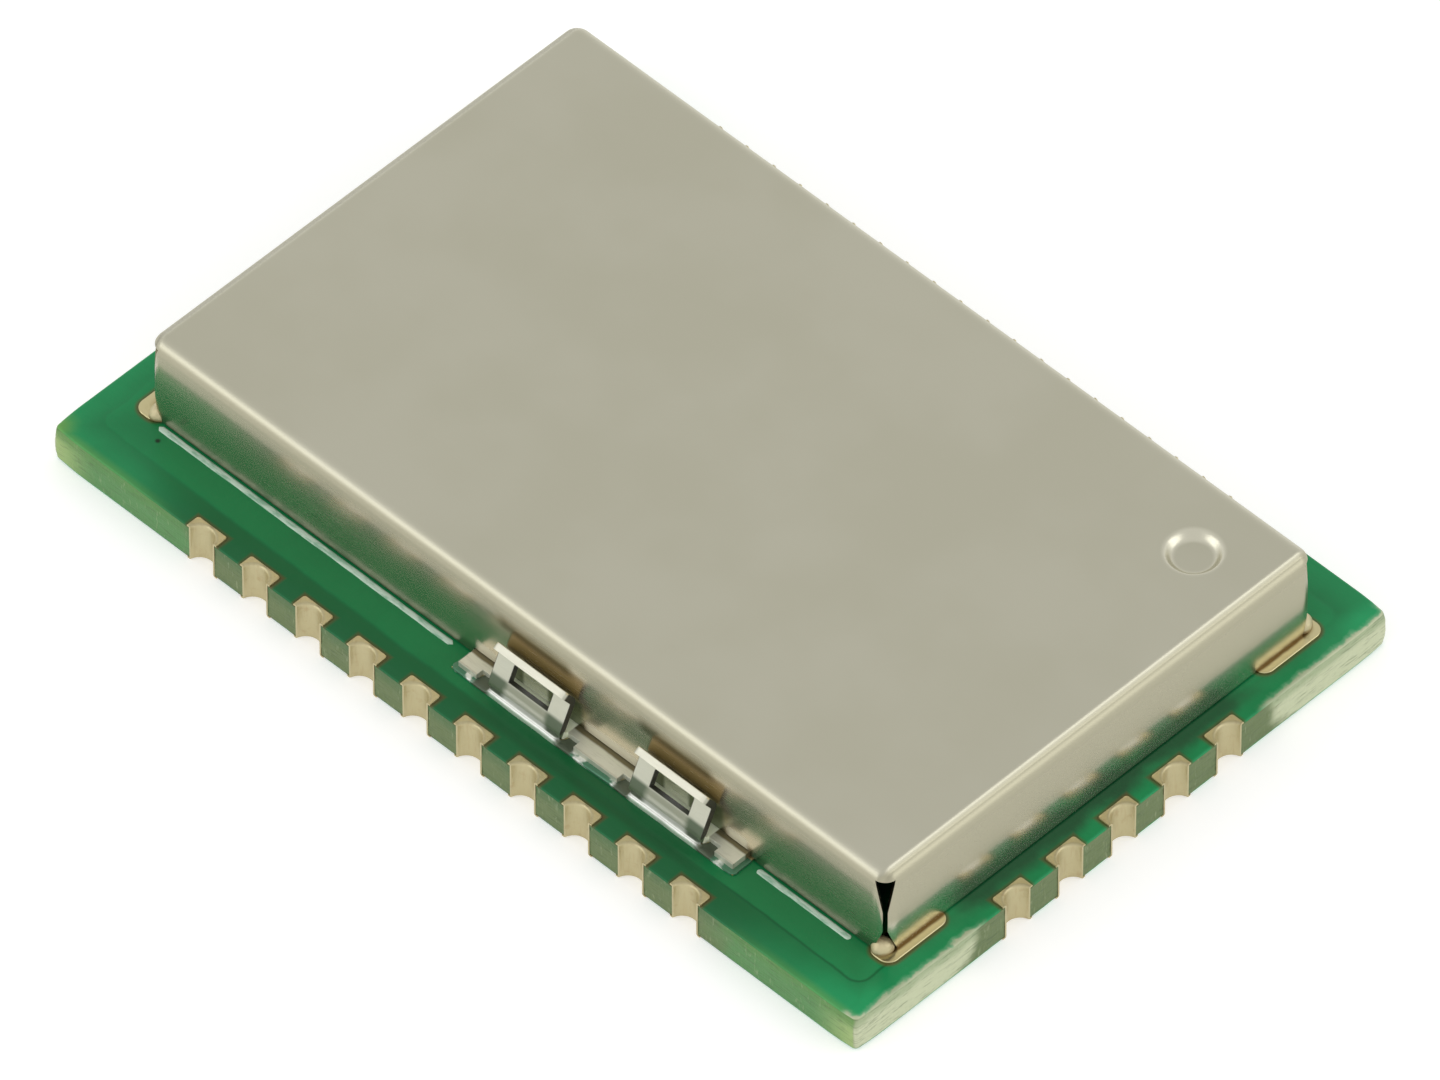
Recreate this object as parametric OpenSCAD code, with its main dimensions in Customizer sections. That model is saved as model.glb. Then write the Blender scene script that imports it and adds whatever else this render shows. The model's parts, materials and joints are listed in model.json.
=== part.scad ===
// Surface-mount radio module: a castellated circuit board under a clipped-on shield can.
// Millimetres, +Z up, +X along the board. The origin is the middle of the board's underside.

/* [Circuit board] */
// Length of the board
board_l = 19; // [17:0.1:30]
// Width of the board
board_w = 12.8; // [11.5:0.1:20]
// Thickness of the board
board_t = 0.8; // [0.6:0.1:1.6]
// Radius of the board's corners
board_corner_r = 0.1; // [0.05:0.05:0.5]

/* [Edge contacts] */
// Spacing of the edge contacts
contact_pitch = 1.27; // [1:0.01:1.4]
// Number of contacts along each long side
side_contacts = 10; // [4:1:10]
// Number of contacts along the short side
end_contacts = 5; // [2:1:6]
// Shift of the long rows from the board's middle, towards the plain end
row_shift = 0.2; // [0:0.05:1]
// Radius of a half hole inside its plating
contact_r = 0.275; // [0.2:0.005:0.3]
// Distance of the half holes' centres outside the board's edge
contact_out = 0.07; // [0:0.01:0.12]
// Thickness of the plating in the half holes
plating_t = 0.035; // [0.02:0.005:0.05]
// Width of a contact's lands
contact_land_w = 0.7; // [0.66:0.02:0.9]
// Depth of a contact's upper land, from the board's edge
upper_land_d = 0.275; // [0.26:0.005:0.6]
// Depth of a contact's lower land, from the board's edge
lower_land_d = 0.9; // [0.5:0.05:1.4]
// Corner radius of a contact's lands
contact_land_r = 0.04; // [0.01:0.01:0.1]
// Thickness of every copper land
land_t = 0.035; // [0.02:0.005:0.07]

/* [Shield can] */
// Bare board between the can and the board's front long side
front_margin = 1.34; // [1:0.01:3]
// Bare board between the can and the board's rear long side
rear_margin = 1.14; // [1:0.01:3]
// Bare board between the can and the contact end
contact_end_margin = 0.63; // [0.5:0.01:3]
// Bare board between the can and the plain end
plain_end_margin = 0.95; // [0.5:0.01:3]
// Height of the can above its pads
can_h = 1.92; // [1.7:0.01:4]
// Thickness of the can's sheet
sheet_t = 0.2; // [0.1:0.01:0.25]
// Outer radius of the bends around the top
bend_r = 0.3; // [0.28:0.01:0.6]
// Radius of the can's upright corners
can_corner_r = 0.3; // [0.05:0.01:0.5]
// Width of the slit in each upright corner
slit_w = 0.085; // [0.04:0.005:0.2]
// Width of the relief at the top of each slit
relief_w = 0.34; // [0.2:0.01:0.6]
// Height over which the relief narrows to the slit
relief_h = 0.75; // [0.2:0.01:0.8]
// Width between the cut-back wall corners at the foot of each slit
foot_gap_w = 0.42; // [0.2:0.01:0.8]
// Height of the cut-back wall corners
foot_gap_h = 0.5; // [0.3:0.01:0.7]
// Diameter of the pressed dimple in the top
dimple_d = 1.08; // [0.6:0.01:2]
// Depth of the dimple
dimple_depth = 0.15; // [0.03:0.01:0.2]
// Width of the dimple's sloping rim
dimple_rim = 0.2; // [0.1:0.01:0.28]
// Distance of the dimple's centre from the two nearest walls
dimple_inset = 1.45; // [0.9:0.01:4]

/* [Ground pads] */
// Length of a corner pad along the short wall
ground_pad_l = 1.5; // [1:0.05:3]
// Width of a corner pad across the short wall
ground_pad_w = 0.55; // [0.5:0.05:1.5]
// Corner radius of a corner pad
ground_pad_r = 0.22; // [0.05:0.01:0.24]
// Reach of a corner pad outside the short wall at the contact end
contact_pad_out = 0.18; // [0.1:0.01:0.3]
// Reach of a corner pad outside the short wall at the plain end
plain_pad_out = 0.26; // [0.1:0.01:0.3]
// Reach of a corner pad outside the long wall
ground_pad_side_out = 0.1; // [0.05:0.01:0.3]

/* [Corner solder] */
// Radius of the mound of solder at the foot of each corner slit
mound_r = 0.215; // [0.17:0.005:0.22]
// Distance of a mound's middle inside the short wall's outer face
mound_end_inset = 0.19; // [0.14:0.01:0.2]
// Distance of a mound's middle inside the long wall's outer face
mound_side_inset = 0.12; // [0.1:0.01:0.18]

/* [Shield clips] */
// Length of a clip's base strip
clip_l = 6.45; // [6:0.05:9]
// Shift of the clips from the can's middle, towards the contact end
clip_shift = 2.32; // [0:0.01:2.9]
// Thickness of a clip's spring sheet
clip_t = 0.13; // [0.08:0.01:0.2]
// Reach of the base strip outside the wall
clip_out = 0.4; // [0.3:0.01:0.6]
// Reach of the base strip inside the wall
clip_in = 0.46; // [0.4:0.01:0.7]
// Width of a leaf
leaf_w = 1.69; // [1.2:0.01:2]
// Spacing of a clip's two pairs of leaves
leaf_spacing = 3.31; // [2.8:0.01:3.5]
// Height of an outer leaf above the clip's land
leaf_h = 1.09; // [0.95:0.01:1.3]
// Reach of an outer leaf's root outside the wall
leaf_root = 0.42; // [0.3:0.01:0.5]
// Height above the clip's land of an outer leaf's waist, where it comes nearest to the wall
waist_h = 0.77; // [0.65:0.01:0.85]
// Outward flare of an outer leaf's top beyond its waist
leaf_flare = 0.22; // [0.05:0.01:0.25]
// Clearance between a leaf and the can's wall
leaf_gap = 0.02; // [0.01:0.01:0.1]
// Inner radius of the bend at a leaf's root
leaf_bend_r = 0.05; // [0.02:0.01:0.1]
// Corner radius of a leaf's top
leaf_corner_r = 0.09; // [0.03:0.01:0.2]
// Width of a leaf's window
window_w = 0.9; // [0.5:0.01:1]
// Height of a window's lower edge above the base strip
window_foot = 0.27; // [0.1:0.01:0.3]
// Height of the bar above a window
window_head = 0.37; // [0.1:0.01:0.4]
// Height of an inner leaf's contact crest above the clip's land
crest_h = 0.85; // [0.6:0.01:1]
// Height of the lead-in above the crest
lead_in_h = 0.2; // [0.1:0.01:0.4]
// Inward lean of the lead-in
lead_in = 0.12; // [0.05:0.01:0.3]
// Width of the relief cut beside each leaf
leaf_relief = 0.3; // [0.1:0.01:0.35]
// Clearance between a clip and the notch in the wall above it
notch_gap = 0.08; // [0.06:0.01:0.2]
// Reach of a clip's land and solder beyond the base strip
solder_out = 0.08; // [0.04:0.01:0.2]
// Height of the solder against an outer leaf
solder_h = 0.24; // [0.15:0.01:0.4]

/* [Inside parts] */
// Clear gap between neighbouring parts
part_gap = 0.35; // [0.2:0.01:0.5]
// Place of the middle column of parts, from the can's middle
column_x = -1; // [-1.3:0.05:-0.7]
// Thickness of the chips' terminals
terminal_t = 0.05; // [0.02:0.01:0.2]
// Spacing of the chips' terminals
terminal_pitch = 0.5; // [0.4:0.01:0.8]
// Width of a chip's terminal
terminal_w = 0.25; // [0.15:0.01:0.3]
// Length of a chip's terminal
terminal_l = 0.4; // [0.2:0.01:0.5]
// Side of the controller chip
controller_w = 5; // [4:0.1:5.2]
// Height of the controller chip
controller_h = 0.85; // [0.5:0.05:1.2]
// Side of the radio chip
radio_w = 4; // [3:0.1:4.2]
// Height of the radio chip
radio_h = 0.75; // [0.5:0.05:1.2]
// Side of the antenna switch
switch_w = 1.5; // [1:0.1:1.7]
// Height of the antenna switch
switch_h = 0.55; // [0.4:0.05:1]
// Length of the reference crystal
reference_l = 2; // [1.6:0.1:2.1]
// Width of the reference crystal
reference_w = 1.6; // [1.2:0.1:1.8]
// Height of the reference crystal
reference_h = 0.5; // [0.3:0.05:1]
// Length of the clock crystal
clock_l = 2; // [1.6:0.1:2.3]
// Width of the clock crystal
clock_w = 1.2; // [1:0.1:1.4]
// Height of the clock crystal
clock_h = 0.5; // [0.3:0.05:1]
// Thickness of the crystals' lids
lid_t = 0.08; // [0.05:0.01:0.2]
// Margin of the crystals' lids inside the rim of their bases
lid_margin = 0.12; // [0.05:0.01:0.3]
// Length of the harmonic filter
filter_l = 2; // [1.6:0.1:2.2]
// Width of the harmonic filter
filter_w = 1.25; // [0.8:0.05:1.5]
// Height of the harmonic filter
filter_h = 0.9; // [0.5:0.05:1.2]
// Length of the supply inductor
coil_l = 2; // [1.6:0.1:2.2]
// Width of the supply inductor
coil_w = 1.6; // [1.2:0.1:1.8]
// Height of the supply inductor
coil_h = 1; // [0.6:0.05:1.3]
// Length of a small chip part
small_l = 1; // [0.6:0.05:1.1]
// Width of a small chip part
small_w = 0.5; // [0.3:0.05:0.6]
// Height of a small chip part
small_h = 0.5; // [0.3:0.05:0.8]
// Height of a chip resistor
resistor_h = 0.35; // [0.2:0.05:0.5]
// Length of an end terminal on a two-ended part
end_terminal = 0.25; // [0.15:0.01:0.27]

/* [Hidden] */
$fn = 48;
// How far a cut runs past the face it opens
overcut = 0.1;
gold = [0.82, 0.75, 0.58];
tin = [0.78, 0.78, 0.75];

// The can stands on the corner pads, between its four margins
can_l = board_l - contact_end_margin - plain_end_margin;
can_w = board_w - front_margin - rear_margin;
can_x = (plain_end_margin - contact_end_margin) / 2;
can_y = (front_margin - rear_margin) / 2;
land_top = board_t + land_t;
clip_x = can_x + clip_shift;
drilled_r = contact_r + plating_t;

// The middle of each inside part, from the can's middle
column_w = max(small_w, clock_w);
small_step = small_l + part_gap;
controller_x = column_x - column_w / 2 - part_gap - controller_w / 2;
radio_x = column_x + column_w / 2 + part_gap + radio_w / 2;
radio_y = -(part_gap + reference_w) / 2;
capacitor_count = 3;
capacitor_y = radio_y - radio_w / 2 + small_l / 2;
clock_y = capacitor_y + (capacitor_count - 1) * small_step + small_l / 2 + part_gap + clock_l / 2;
upper_row_y = radio_y + radio_w / 2 + part_gap;
reference_x = radio_x - radio_w / 2 + reference_l / 2;
coil_x = reference_x + reference_l / 2 + part_gap + coil_l / 2;
inductor_count = 3;
inductor_x = radio_x + radio_w / 2 + part_gap + small_w / 2;
output_x = inductor_x + small_w / 2 + part_gap + max(switch_w, filter_w, small_l) / 2;
switch_y = radio_y - radio_w / 2 + switch_w / 2;
filter_y = switch_y + switch_w / 2 + part_gap + filter_l / 2;
resistor_count = 2;
resistor_x = max(output_x, coil_x + coil_l / 2 + part_gap + small_l / 2);
resistor_y = filter_y + filter_l / 2 + part_gap + small_w / 2;

// Flat plate outline with rounded corners, centred
module rounded_plate(length, width, radius) {
    square([length - 2 * radius, width], center = true);
    square([length, width - 2 * radius], center = true);
    for (x = [-1, 1], y = [-1, 1])
        translate([x * (length / 2 - radius), y * (width / 2 - radius)])
            circle(radius);
}

// Upright outline that stands on y = 0, with rounded upper corners
module arch(width, height, radius) {
    translate([-width / 2, 0])
        square([width, height - radius]);
    translate([radius - width / 2, 0])
        square([width - 2 * radius, height]);
    for (side = [-1, 1])
        translate([side * (width / 2 - radius), height - radius])
            circle(radius);
}

// Carries a y-z outline along X, centred
module along_x(length) {
    rotate([90, 0, 90])
        translate([0, 0, -length / 2])
            linear_extrude(length)
                children();
}

// Carries an x-z outline along Y, centred
module along_y(length) {
    rotate([90, 0, 0])
        translate([0, 0, -length / 2])
            linear_extrude(length)
                children();
}

// Places along one long side: the edge is the local X axis and the board lies towards +Y
module at_side_contacts(side) {
    for (i = [0:side_contacts - 1])
        translate([(i - (side_contacts - 1) / 2) * contact_pitch - row_shift, side * board_w / 2, 0])
            rotate(side < 0 ? 0 : 180)
                children();
}

// Places along the contact end, in the same local frame
module at_end_contacts() {
    for (i = [0:end_contacts - 1])
        translate([board_l / 2, (i - (end_contacts - 1) / 2) * contact_pitch, 0])
            rotate(90)
                children();
}

// Land outline that runs in from the board's edge, with rounded inner corners
module contact_land(depth) {
    translate([-contact_land_w / 2, 0])
        square([contact_land_w, depth - contact_land_r]);
    translate([contact_land_r - contact_land_w / 2, 0])
        square([contact_land_w - 2 * contact_land_r, depth]);
    for (side = [-1, 1])
        translate([side * (contact_land_w / 2 - contact_land_r), depth - contact_land_r])
            circle(contact_land_r);
}

// Room that one contact takes in the board: its drilled half hole and its sunk lower land
module contact_room() {
    translate([0, -contact_out, -overcut])
        cylinder(r = drilled_r, h = board_t + 2 * overcut);
    translate([0, 0, -overcut])
        linear_extrude(overcut + land_t)
            contact_land(lower_land_d);
    translate([-contact_land_w / 2, -overcut, -overcut])
        cube([contact_land_w, 2 * overcut, overcut + land_t]);
}

// One plated contact: a barrel cut off at the board's edge, with a land on each face
module edge_contact() {
    difference() {
        union() {
            intersection() {
                translate([0, -contact_out, 0])
                    cylinder(r = drilled_r, h = land_top);
                translate([-contact_land_w / 2, 0, 0])
                    cube([contact_land_w, lower_land_d, land_top]);
            }
            linear_extrude(land_t)
                contact_land(lower_land_d);
            translate([0, 0, board_t])
                linear_extrude(land_t)
                    contact_land(upper_land_d);
        }
        translate([0, -contact_out, -overcut])
            cylinder(r = contact_r, h = land_top + 2 * overcut);
    }
}

module circuit_board() {
    color([0.12, 0.45, 0.27])
        difference() {
            linear_extrude(board_t)
                rounded_plate(board_l, board_w, board_corner_r);
            at_side_contacts(-1)
                contact_room();
            at_side_contacts(1)
                contact_room();
            at_end_contacts()
                contact_room();
        }
}

module left_edge_contacts() {
    color(gold)
        at_side_contacts(-1)
            edge_contact();
}

module right_edge_contacts() {
    color(gold)
        at_side_contacts(1)
            edge_contact();
}

module end_edge_contacts() {
    color(gold)
        at_end_contacts()
            edge_contact();
}

module corner_ground_pads() {
    plain_x = can_x - can_l / 2 - plain_pad_out + ground_pad_w / 2;
    contact_x = can_x + can_l / 2 + contact_pad_out - ground_pad_w / 2;
    pad_y = can_w / 2 + ground_pad_side_out - ground_pad_l / 2;
    color(gold)
        for (x = [plain_x, contact_x], y = [-1, 1])
            translate([x, can_y + y * pad_y, board_t])
                linear_extrude(land_t)
                    rounded_plate(ground_pad_w, ground_pad_l, ground_pad_r);
}

// Closed block with bent upper edges, standing on z = 0
module can_block(length, width, height, bend) {
    intersection() {
        along_x(length)
            arch(width, height, bend);
        along_y(width)
            arch(length, height, bend);
    }
}

// Depth of the dimple at a share of the way across its rim, falling smoothly inwards
function dimple_fall(share) = dimple_depth * (1 - cos(180 * share)) / 2;
dimple_steps = 8;
dimple_curve = [
    for (i = [0:dimple_steps])
        [dimple_d / 2 - dimple_rim * i / dimple_steps, -dimple_fall(i / dimple_steps)]
];

// Revolved slug under the dimple's surface: drop is how far that surface is moved down
module dimple_slug(top, drop) {
    rotate_extrude()
        polygon(concat(
            [[0, top], [dimple_d / 2, top]],
            [for (point = dimple_curve) [point[0], point[1] - drop]],
            [[0, -dimple_depth - drop]]
        ));
}

// Slit between two walls, carried along the diagonal through one upright corner
module corner_slit() {
    reach = 2 * (sheet_t + relief_w + foot_gap_w);
    relief_top = can_h - sheet_t;
    half = [
        [relief_w / 2, relief_top],
        [slit_w / 2, relief_top - relief_h],
        [slit_w / 2, foot_gap_h],
        [foot_gap_w / 2, 0],
        [foot_gap_w / 2, -overcut]
    ];
    along_x(reach)
        polygon(concat(half, [for (i = [len(half) - 1:-1:0]) [-half[i][0], half[i][1]]]));
}

// Folded sheet before its dimple and clip notches, standing on z = 0
module can_walls() {
    difference() {
        intersection() {
            can_block(can_l, can_w, can_h, bend_r);
            linear_extrude(can_h)
                rounded_plate(can_l, can_w, can_corner_r);
        }
        translate([0, 0, -overcut])
            can_block(
                can_l - 2 * sheet_t, can_w - 2 * sheet_t,
                can_h - sheet_t + overcut, bend_r - sheet_t
            );
        for (x = [-1, 1], y = [-1, 1])
            translate([x * can_l / 2, y * can_w / 2, 0])
                rotate(45 * x * y)
                    corner_slit();
    }
}

module shield_can() {
    color([0.69, 0.67, 0.6])
        translate([can_x, can_y, land_top])
            difference() {
                union() {
                    can_walls();
                    translate([can_l / 2 - dimple_inset, can_w / 2 - dimple_inset, can_h])
                        dimple_slug(-sheet_t / 2, sheet_t);
                }
                translate([can_l / 2 - dimple_inset, can_w / 2 - dimple_inset, can_h])
                    dimple_slug(overcut, 0);
                for (side = [-1, 1])
                    translate([clip_shift, side * (can_w / 2 - sheet_t / 2), 0])
                        cube([
                            clip_l + 2 * notch_gap, 2 * sheet_t, 2 * (clip_t + notch_gap)
                        ], center = true);
            }
}

// Solder that fills the foot of each corner slit and stands out in front of the walls
module corner_solder() {
    color("silver")
        translate([can_x, can_y, land_top])
            difference() {
                for (x = [-1, 1], y = [-1, 1])
                    translate([x * (can_l / 2 - mound_end_inset), y * (can_w / 2 - mound_side_inset), 0])
                        intersection() {
                            sphere(mound_r);
                            translate([-mound_r, -mound_r, 0])
                                cube(2 * mound_r);
                        }
                can_walls();
            }
}

function unit(v) = v / norm(v);

// Arc of points about a centre, in the y-z plane of a bent sheet
function arc(centre, radius, from, to, steps = 6) = [
    for (i = [0:steps])
        let (angle = from + (to - from) * i / steps)
            centre + radius * [cos(angle), sin(angle)]
];

// Mitred sideways step at one point of a path, for half a sheet's thickness
function side_step(path, i, half) =
    let (
        before = i > 0 ? unit(path[i] - path[i - 1]) : unit(path[1] - path[0]),
        after = i < len(path) - 1 ? unit(path[i + 1] - path[i]) : before,
        along = unit(before + after)
    )
    half / (along * before) * [-along[1], along[0]];

// Outline of a sheet of even thickness that follows a path
function bent_sheet(path, thickness) = concat(
    [for (i = [0:len(path) - 1]) path[i] + side_step(path, i, thickness / 2)],
    [for (i = [len(path) - 1:-1:0]) path[i] - side_step(path, i, thickness / 2)]
);

// Middle line of an outer leaf, round the bend, leaning in to its waist and flaring out again
root_r = leaf_bend_r + clip_t / 2;
outer_root = [root_r + clip_t / 2 - leaf_root, clip_t + leaf_bend_r];
waist = [-leaf_gap - clip_t / 2, waist_h];
to_waist = waist - outer_root;
leaf_lean = atan2(to_waist[0], to_waist[1]) + asin(root_r / norm(to_waist));
outer_path = concat(
    [[sheet_t, clip_t / 2]],
    arc(outer_root, root_r, -90, -180 - leaf_lean),
    [waist, [waist[0] - leaf_flare, leaf_h], [waist[0] - 2 * leaf_flare, 2 * leaf_h - waist_h]]
);

// Middle line of an inner leaf, which leans to the wall's inner face and turns away again
inner_bend = arc([sheet_t + clip_in - root_r - clip_t / 2, clip_t + leaf_bend_r], root_r, -90, 0);
crest_y = sheet_t + leaf_gap + clip_t / 2;
inner_path = concat(
    [[0, clip_t / 2]],
    inner_bend,
    [[crest_y, crest_h], [crest_y + lead_in, crest_h + lead_in_h]]
);

// Clip frame: the wall's outer face is the plane y = 0, its land's top is z = 0, +Y is inside
module at_clip(side) {
    translate([clip_x, can_y + side * can_w / 2, land_top])
        rotate(side < 0 ? 0 : 180)
            children();
}

module at_leaves() {
    for (side = [-1, 1])
        translate([side * leaf_spacing / 2, 0, 0])
            children();
}

module outer_leaf() {
    intersection() {
        along_x(leaf_w)
            polygon(bent_sheet(outer_path, clip_t));
        along_y(4 * clip_out)
            difference() {
                arch(leaf_w, leaf_h, leaf_corner_r);
                translate([-window_w / 2, clip_t + window_foot])
                    square([window_w, leaf_h - clip_t - window_foot - window_head]);
            }
    }
}

module inner_leaf() {
    along_x(leaf_w)
        polygon(bent_sheet(inner_path, clip_t));
}

// Base strip with the cuts from which the leaves are folded up
module clip_base() {
    cut_w = leaf_w + 2 * leaf_relief;
    inner_edge = sheet_t + clip_in;
    linear_extrude(clip_t)
        difference() {
            translate([-clip_l / 2, -clip_out])
                square([clip_l, clip_out + inner_edge]);
            at_leaves() {
                translate([-cut_w / 2, -clip_out - overcut])
                    square([cut_w, clip_out + overcut + outer_root[0]]);
                translate([-cut_w / 2, inner_bend[0][0]])
                    square([cut_w, inner_edge]);
            }
        }
}

module shield_clip() {
    clip_base();
    at_leaves() {
        outer_leaf();
        inner_leaf();
    }
}

module clip_land() {
    land_l = clip_l + 2 * solder_out;
    translate([-land_l / 2, -clip_out - solder_out, -land_t])
        cube([land_l, clip_out + sheet_t + clip_in + 2 * solder_out, land_t]);
}

// Bead along the strip's outer edge and ends, with a taller fillet against each outer leaf
module clip_solder() {
    front = -clip_out - solder_out;
    end = clip_l / 2 + solder_out;
    difference() {
        union() {
            along_x(clip_l)
                polygon([[front, 0], [-leaf_gap, 0], [-leaf_gap, clip_t / 2], [-clip_out, clip_t / 2]]);
            at_leaves()
                along_x(leaf_w - clip_t)
                    polygon([[front, 0], [outer_root[0], 0], [clip_t / 2 - leaf_root, solder_h]]);
            translate([0, -(clip_out + leaf_gap) / 2, 0])
                along_y(clip_out - leaf_gap)
                    polygon([[-end, 0], [end, 0], [clip_l / 2, clip_t / 2], [-clip_l / 2, clip_t / 2]]);
        }
        shield_clip();
    }
}

module front_clip_land() {
    color(gold)
        at_clip(-1)
            clip_land();
}

module rear_clip_land() {
    color(gold)
        at_clip(1)
            clip_land();
}

module front_shield_clip() {
    color(tin)
        at_clip(-1)
            shield_clip();
}

module rear_shield_clip() {
    color(tin)
        at_clip(1)
            shield_clip();
}

module front_clip_solder() {
    color("silver")
        at_clip(-1)
            clip_solder();
}

module rear_clip_solder() {
    color("silver")
        at_clip(1)
            clip_solder();
}

// Place on the board, measured from the can's middle
module on_board(x, y) {
    translate([can_x + x, can_y + y, board_t])
        children();
}

// Moulded chip body that stands on its terminals
module chip_body(width, height) {
    translate([-width / 2, -width / 2, terminal_t])
        cube([width, width, height - terminal_t]);
}

// Terminals under a chip's four sides, and the square pad under its middle
module chip_terminals(width) {
    count = floor((width - 2 * terminal_l - terminal_w) / terminal_pitch) + 1;
    for (turn = [0:90:270], i = [0:count - 1])
        rotate(turn)
            translate([
                (i - (count - 1) / 2) * terminal_pitch - terminal_w / 2,
                -width / 2, 0
            ])
                cube([terminal_w, terminal_l, terminal_t]);
    pad = width - 4 * terminal_l;
    if (pad > terminal_w)
        linear_extrude(terminal_t)
            square(pad, center = true);
}

module controller_chip() {
    color([0.16, 0.16, 0.17])
        on_board(controller_x, 0)
            chip_body(controller_w, controller_h);
}

module controller_terminals() {
    color(tin)
        on_board(controller_x, 0)
            chip_terminals(controller_w);
}

module radio_chip() {
    color([0.16, 0.16, 0.17])
        on_board(radio_x, radio_y)
            chip_body(radio_w, radio_h);
}

module radio_terminals() {
    color(tin)
        on_board(radio_x, radio_y)
            chip_terminals(radio_w);
}

module antenna_switch() {
    color([0.2, 0.2, 0.21])
        on_board(output_x, switch_y)
            chip_body(switch_w, switch_h);
}

module antenna_switch_terminals() {
    color(tin)
        on_board(output_x, switch_y)
            chip_terminals(switch_w);
}

// Ceramic base of a crystal, raised on its terminals
module crystal_base(length, width, height) {
    translate([-length / 2, -width / 2, terminal_t])
        cube([length, width, height - terminal_t]);
}

// Metal lid on a crystal's base
module crystal_lid(length, width, height) {
    translate([lid_margin - length / 2, lid_margin - width / 2, height])
        cube([length - 2 * lid_margin, width - 2 * lid_margin, lid_t]);
}

// Four corner terminals under a crystal
module crystal_terminals(length, width) {
    for (x = [-1, 1], y = [-1, 1])
        translate([x * (length - terminal_l) / 2, y * (width - terminal_l) / 2, terminal_t / 2])
            cube([terminal_l, terminal_l, terminal_t], center = true);
}

module at_reference() {
    on_board(reference_x, upper_row_y + reference_w / 2)
        children();
}

module reference_crystal_base() {
    color([0.35, 0.3, 0.25])
        at_reference()
            crystal_base(reference_l, reference_w, reference_h);
}

module reference_crystal_lid() {
    color(gold)
        at_reference()
            crystal_lid(reference_l, reference_w, reference_h);
}

module reference_crystal_terminals() {
    color(gold)
        at_reference()
            crystal_terminals(reference_l, reference_w);
}

module at_clock() {
    on_board(column_x, clock_y)
        rotate(90)
            children();
}

module clock_crystal_base() {
    color([0.35, 0.3, 0.25])
        at_clock()
            crystal_base(clock_l, clock_w, clock_h);
}

module clock_crystal_lid() {
    color(gold)
        at_clock()
            crystal_lid(clock_l, clock_w, clock_h);
}

module clock_crystal_terminals() {
    color(gold)
        at_clock()
            crystal_terminals(clock_l, clock_w);
}

// Body of a two-ended part, between its end terminals
module two_ended_body(length, width, height) {
    translate([end_terminal - length / 2, -width / 2, 0])
        cube([length - 2 * end_terminal, width, height]);
}

// End terminals of a two-ended part
module two_ended_terminals(length, width, height) {
    for (x = [-length / 2, length / 2 - end_terminal])
        translate([x, -width / 2, 0])
            cube([end_terminal, width, height]);
}

module at_filter() {
    on_board(output_x, filter_y)
        rotate(90)
            children();
}

module harmonic_filter() {
    color([0.9, 0.9, 0.86])
        at_filter()
            two_ended_body(filter_l, filter_w, filter_h);
}

module harmonic_filter_terminals() {
    color(tin)
        at_filter()
            two_ended_terminals(filter_l, filter_w, filter_h);
}

module at_coil() {
    on_board(coil_x, upper_row_y + coil_w / 2)
        children();
}

module supply_inductor() {
    color([0.25, 0.24, 0.24])
        at_coil()
            two_ended_body(coil_l, coil_w, coil_h);
}

module supply_inductor_terminals() {
    color(tin)
        at_coil()
            two_ended_terminals(coil_l, coil_w, coil_h);
}

module at_inductors() {
    for (i = [0:inductor_count - 1])
        on_board(inductor_x, radio_y + (i - (inductor_count - 1) / 2) * small_step)
            rotate(90)
                children();
}

module matching_inductors() {
    color([0.3, 0.42, 0.6])
        at_inductors()
            two_ended_body(small_l, small_w, small_h);
}

module matching_inductor_terminals() {
    color(tin)
        at_inductors()
            two_ended_terminals(small_l, small_w, small_h);
}

module at_capacitors() {
    for (i = [0:capacitor_count - 1])
        on_board(column_x, capacitor_y + i * small_step)
            rotate(90)
                children();
}

module capacitors() {
    color([0.62, 0.5, 0.36])
        at_capacitors()
            two_ended_body(small_l, small_w, small_h);
}

module capacitor_terminals() {
    color(tin)
        at_capacitors()
            two_ended_terminals(small_l, small_w, small_h);
}

module at_resistors() {
    for (i = [0:resistor_count - 1])
        on_board(resistor_x, resistor_y + i * (small_w + part_gap))
            children();
}

module resistors() {
    color([0.12, 0.12, 0.13])
        at_resistors()
            two_ended_body(small_l, small_w, resistor_h);
}

module resistor_terminals() {
    color(tin)
        at_resistors()
            two_ended_terminals(small_l, small_w, resistor_h);
}

circuit_board();
left_edge_contacts();
right_edge_contacts();
end_edge_contacts();
corner_ground_pads();
front_clip_land();
rear_clip_land();
front_shield_clip();
rear_shield_clip();
front_clip_solder();
rear_clip_solder();
shield_can();
corner_solder();
controller_chip();
controller_terminals();
radio_chip();
radio_terminals();
antenna_switch();
antenna_switch_terminals();
reference_crystal_base();
reference_crystal_lid();
reference_crystal_terminals();
clock_crystal_base();
clock_crystal_lid();
clock_crystal_terminals();
harmonic_filter();
harmonic_filter_terminals();
supply_inductor();
supply_inductor_terminals();
matching_inductors();
matching_inductor_terminals();
capacitors();
capacitor_terminals();
resistors();
resistor_terminals();
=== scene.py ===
import json

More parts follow.
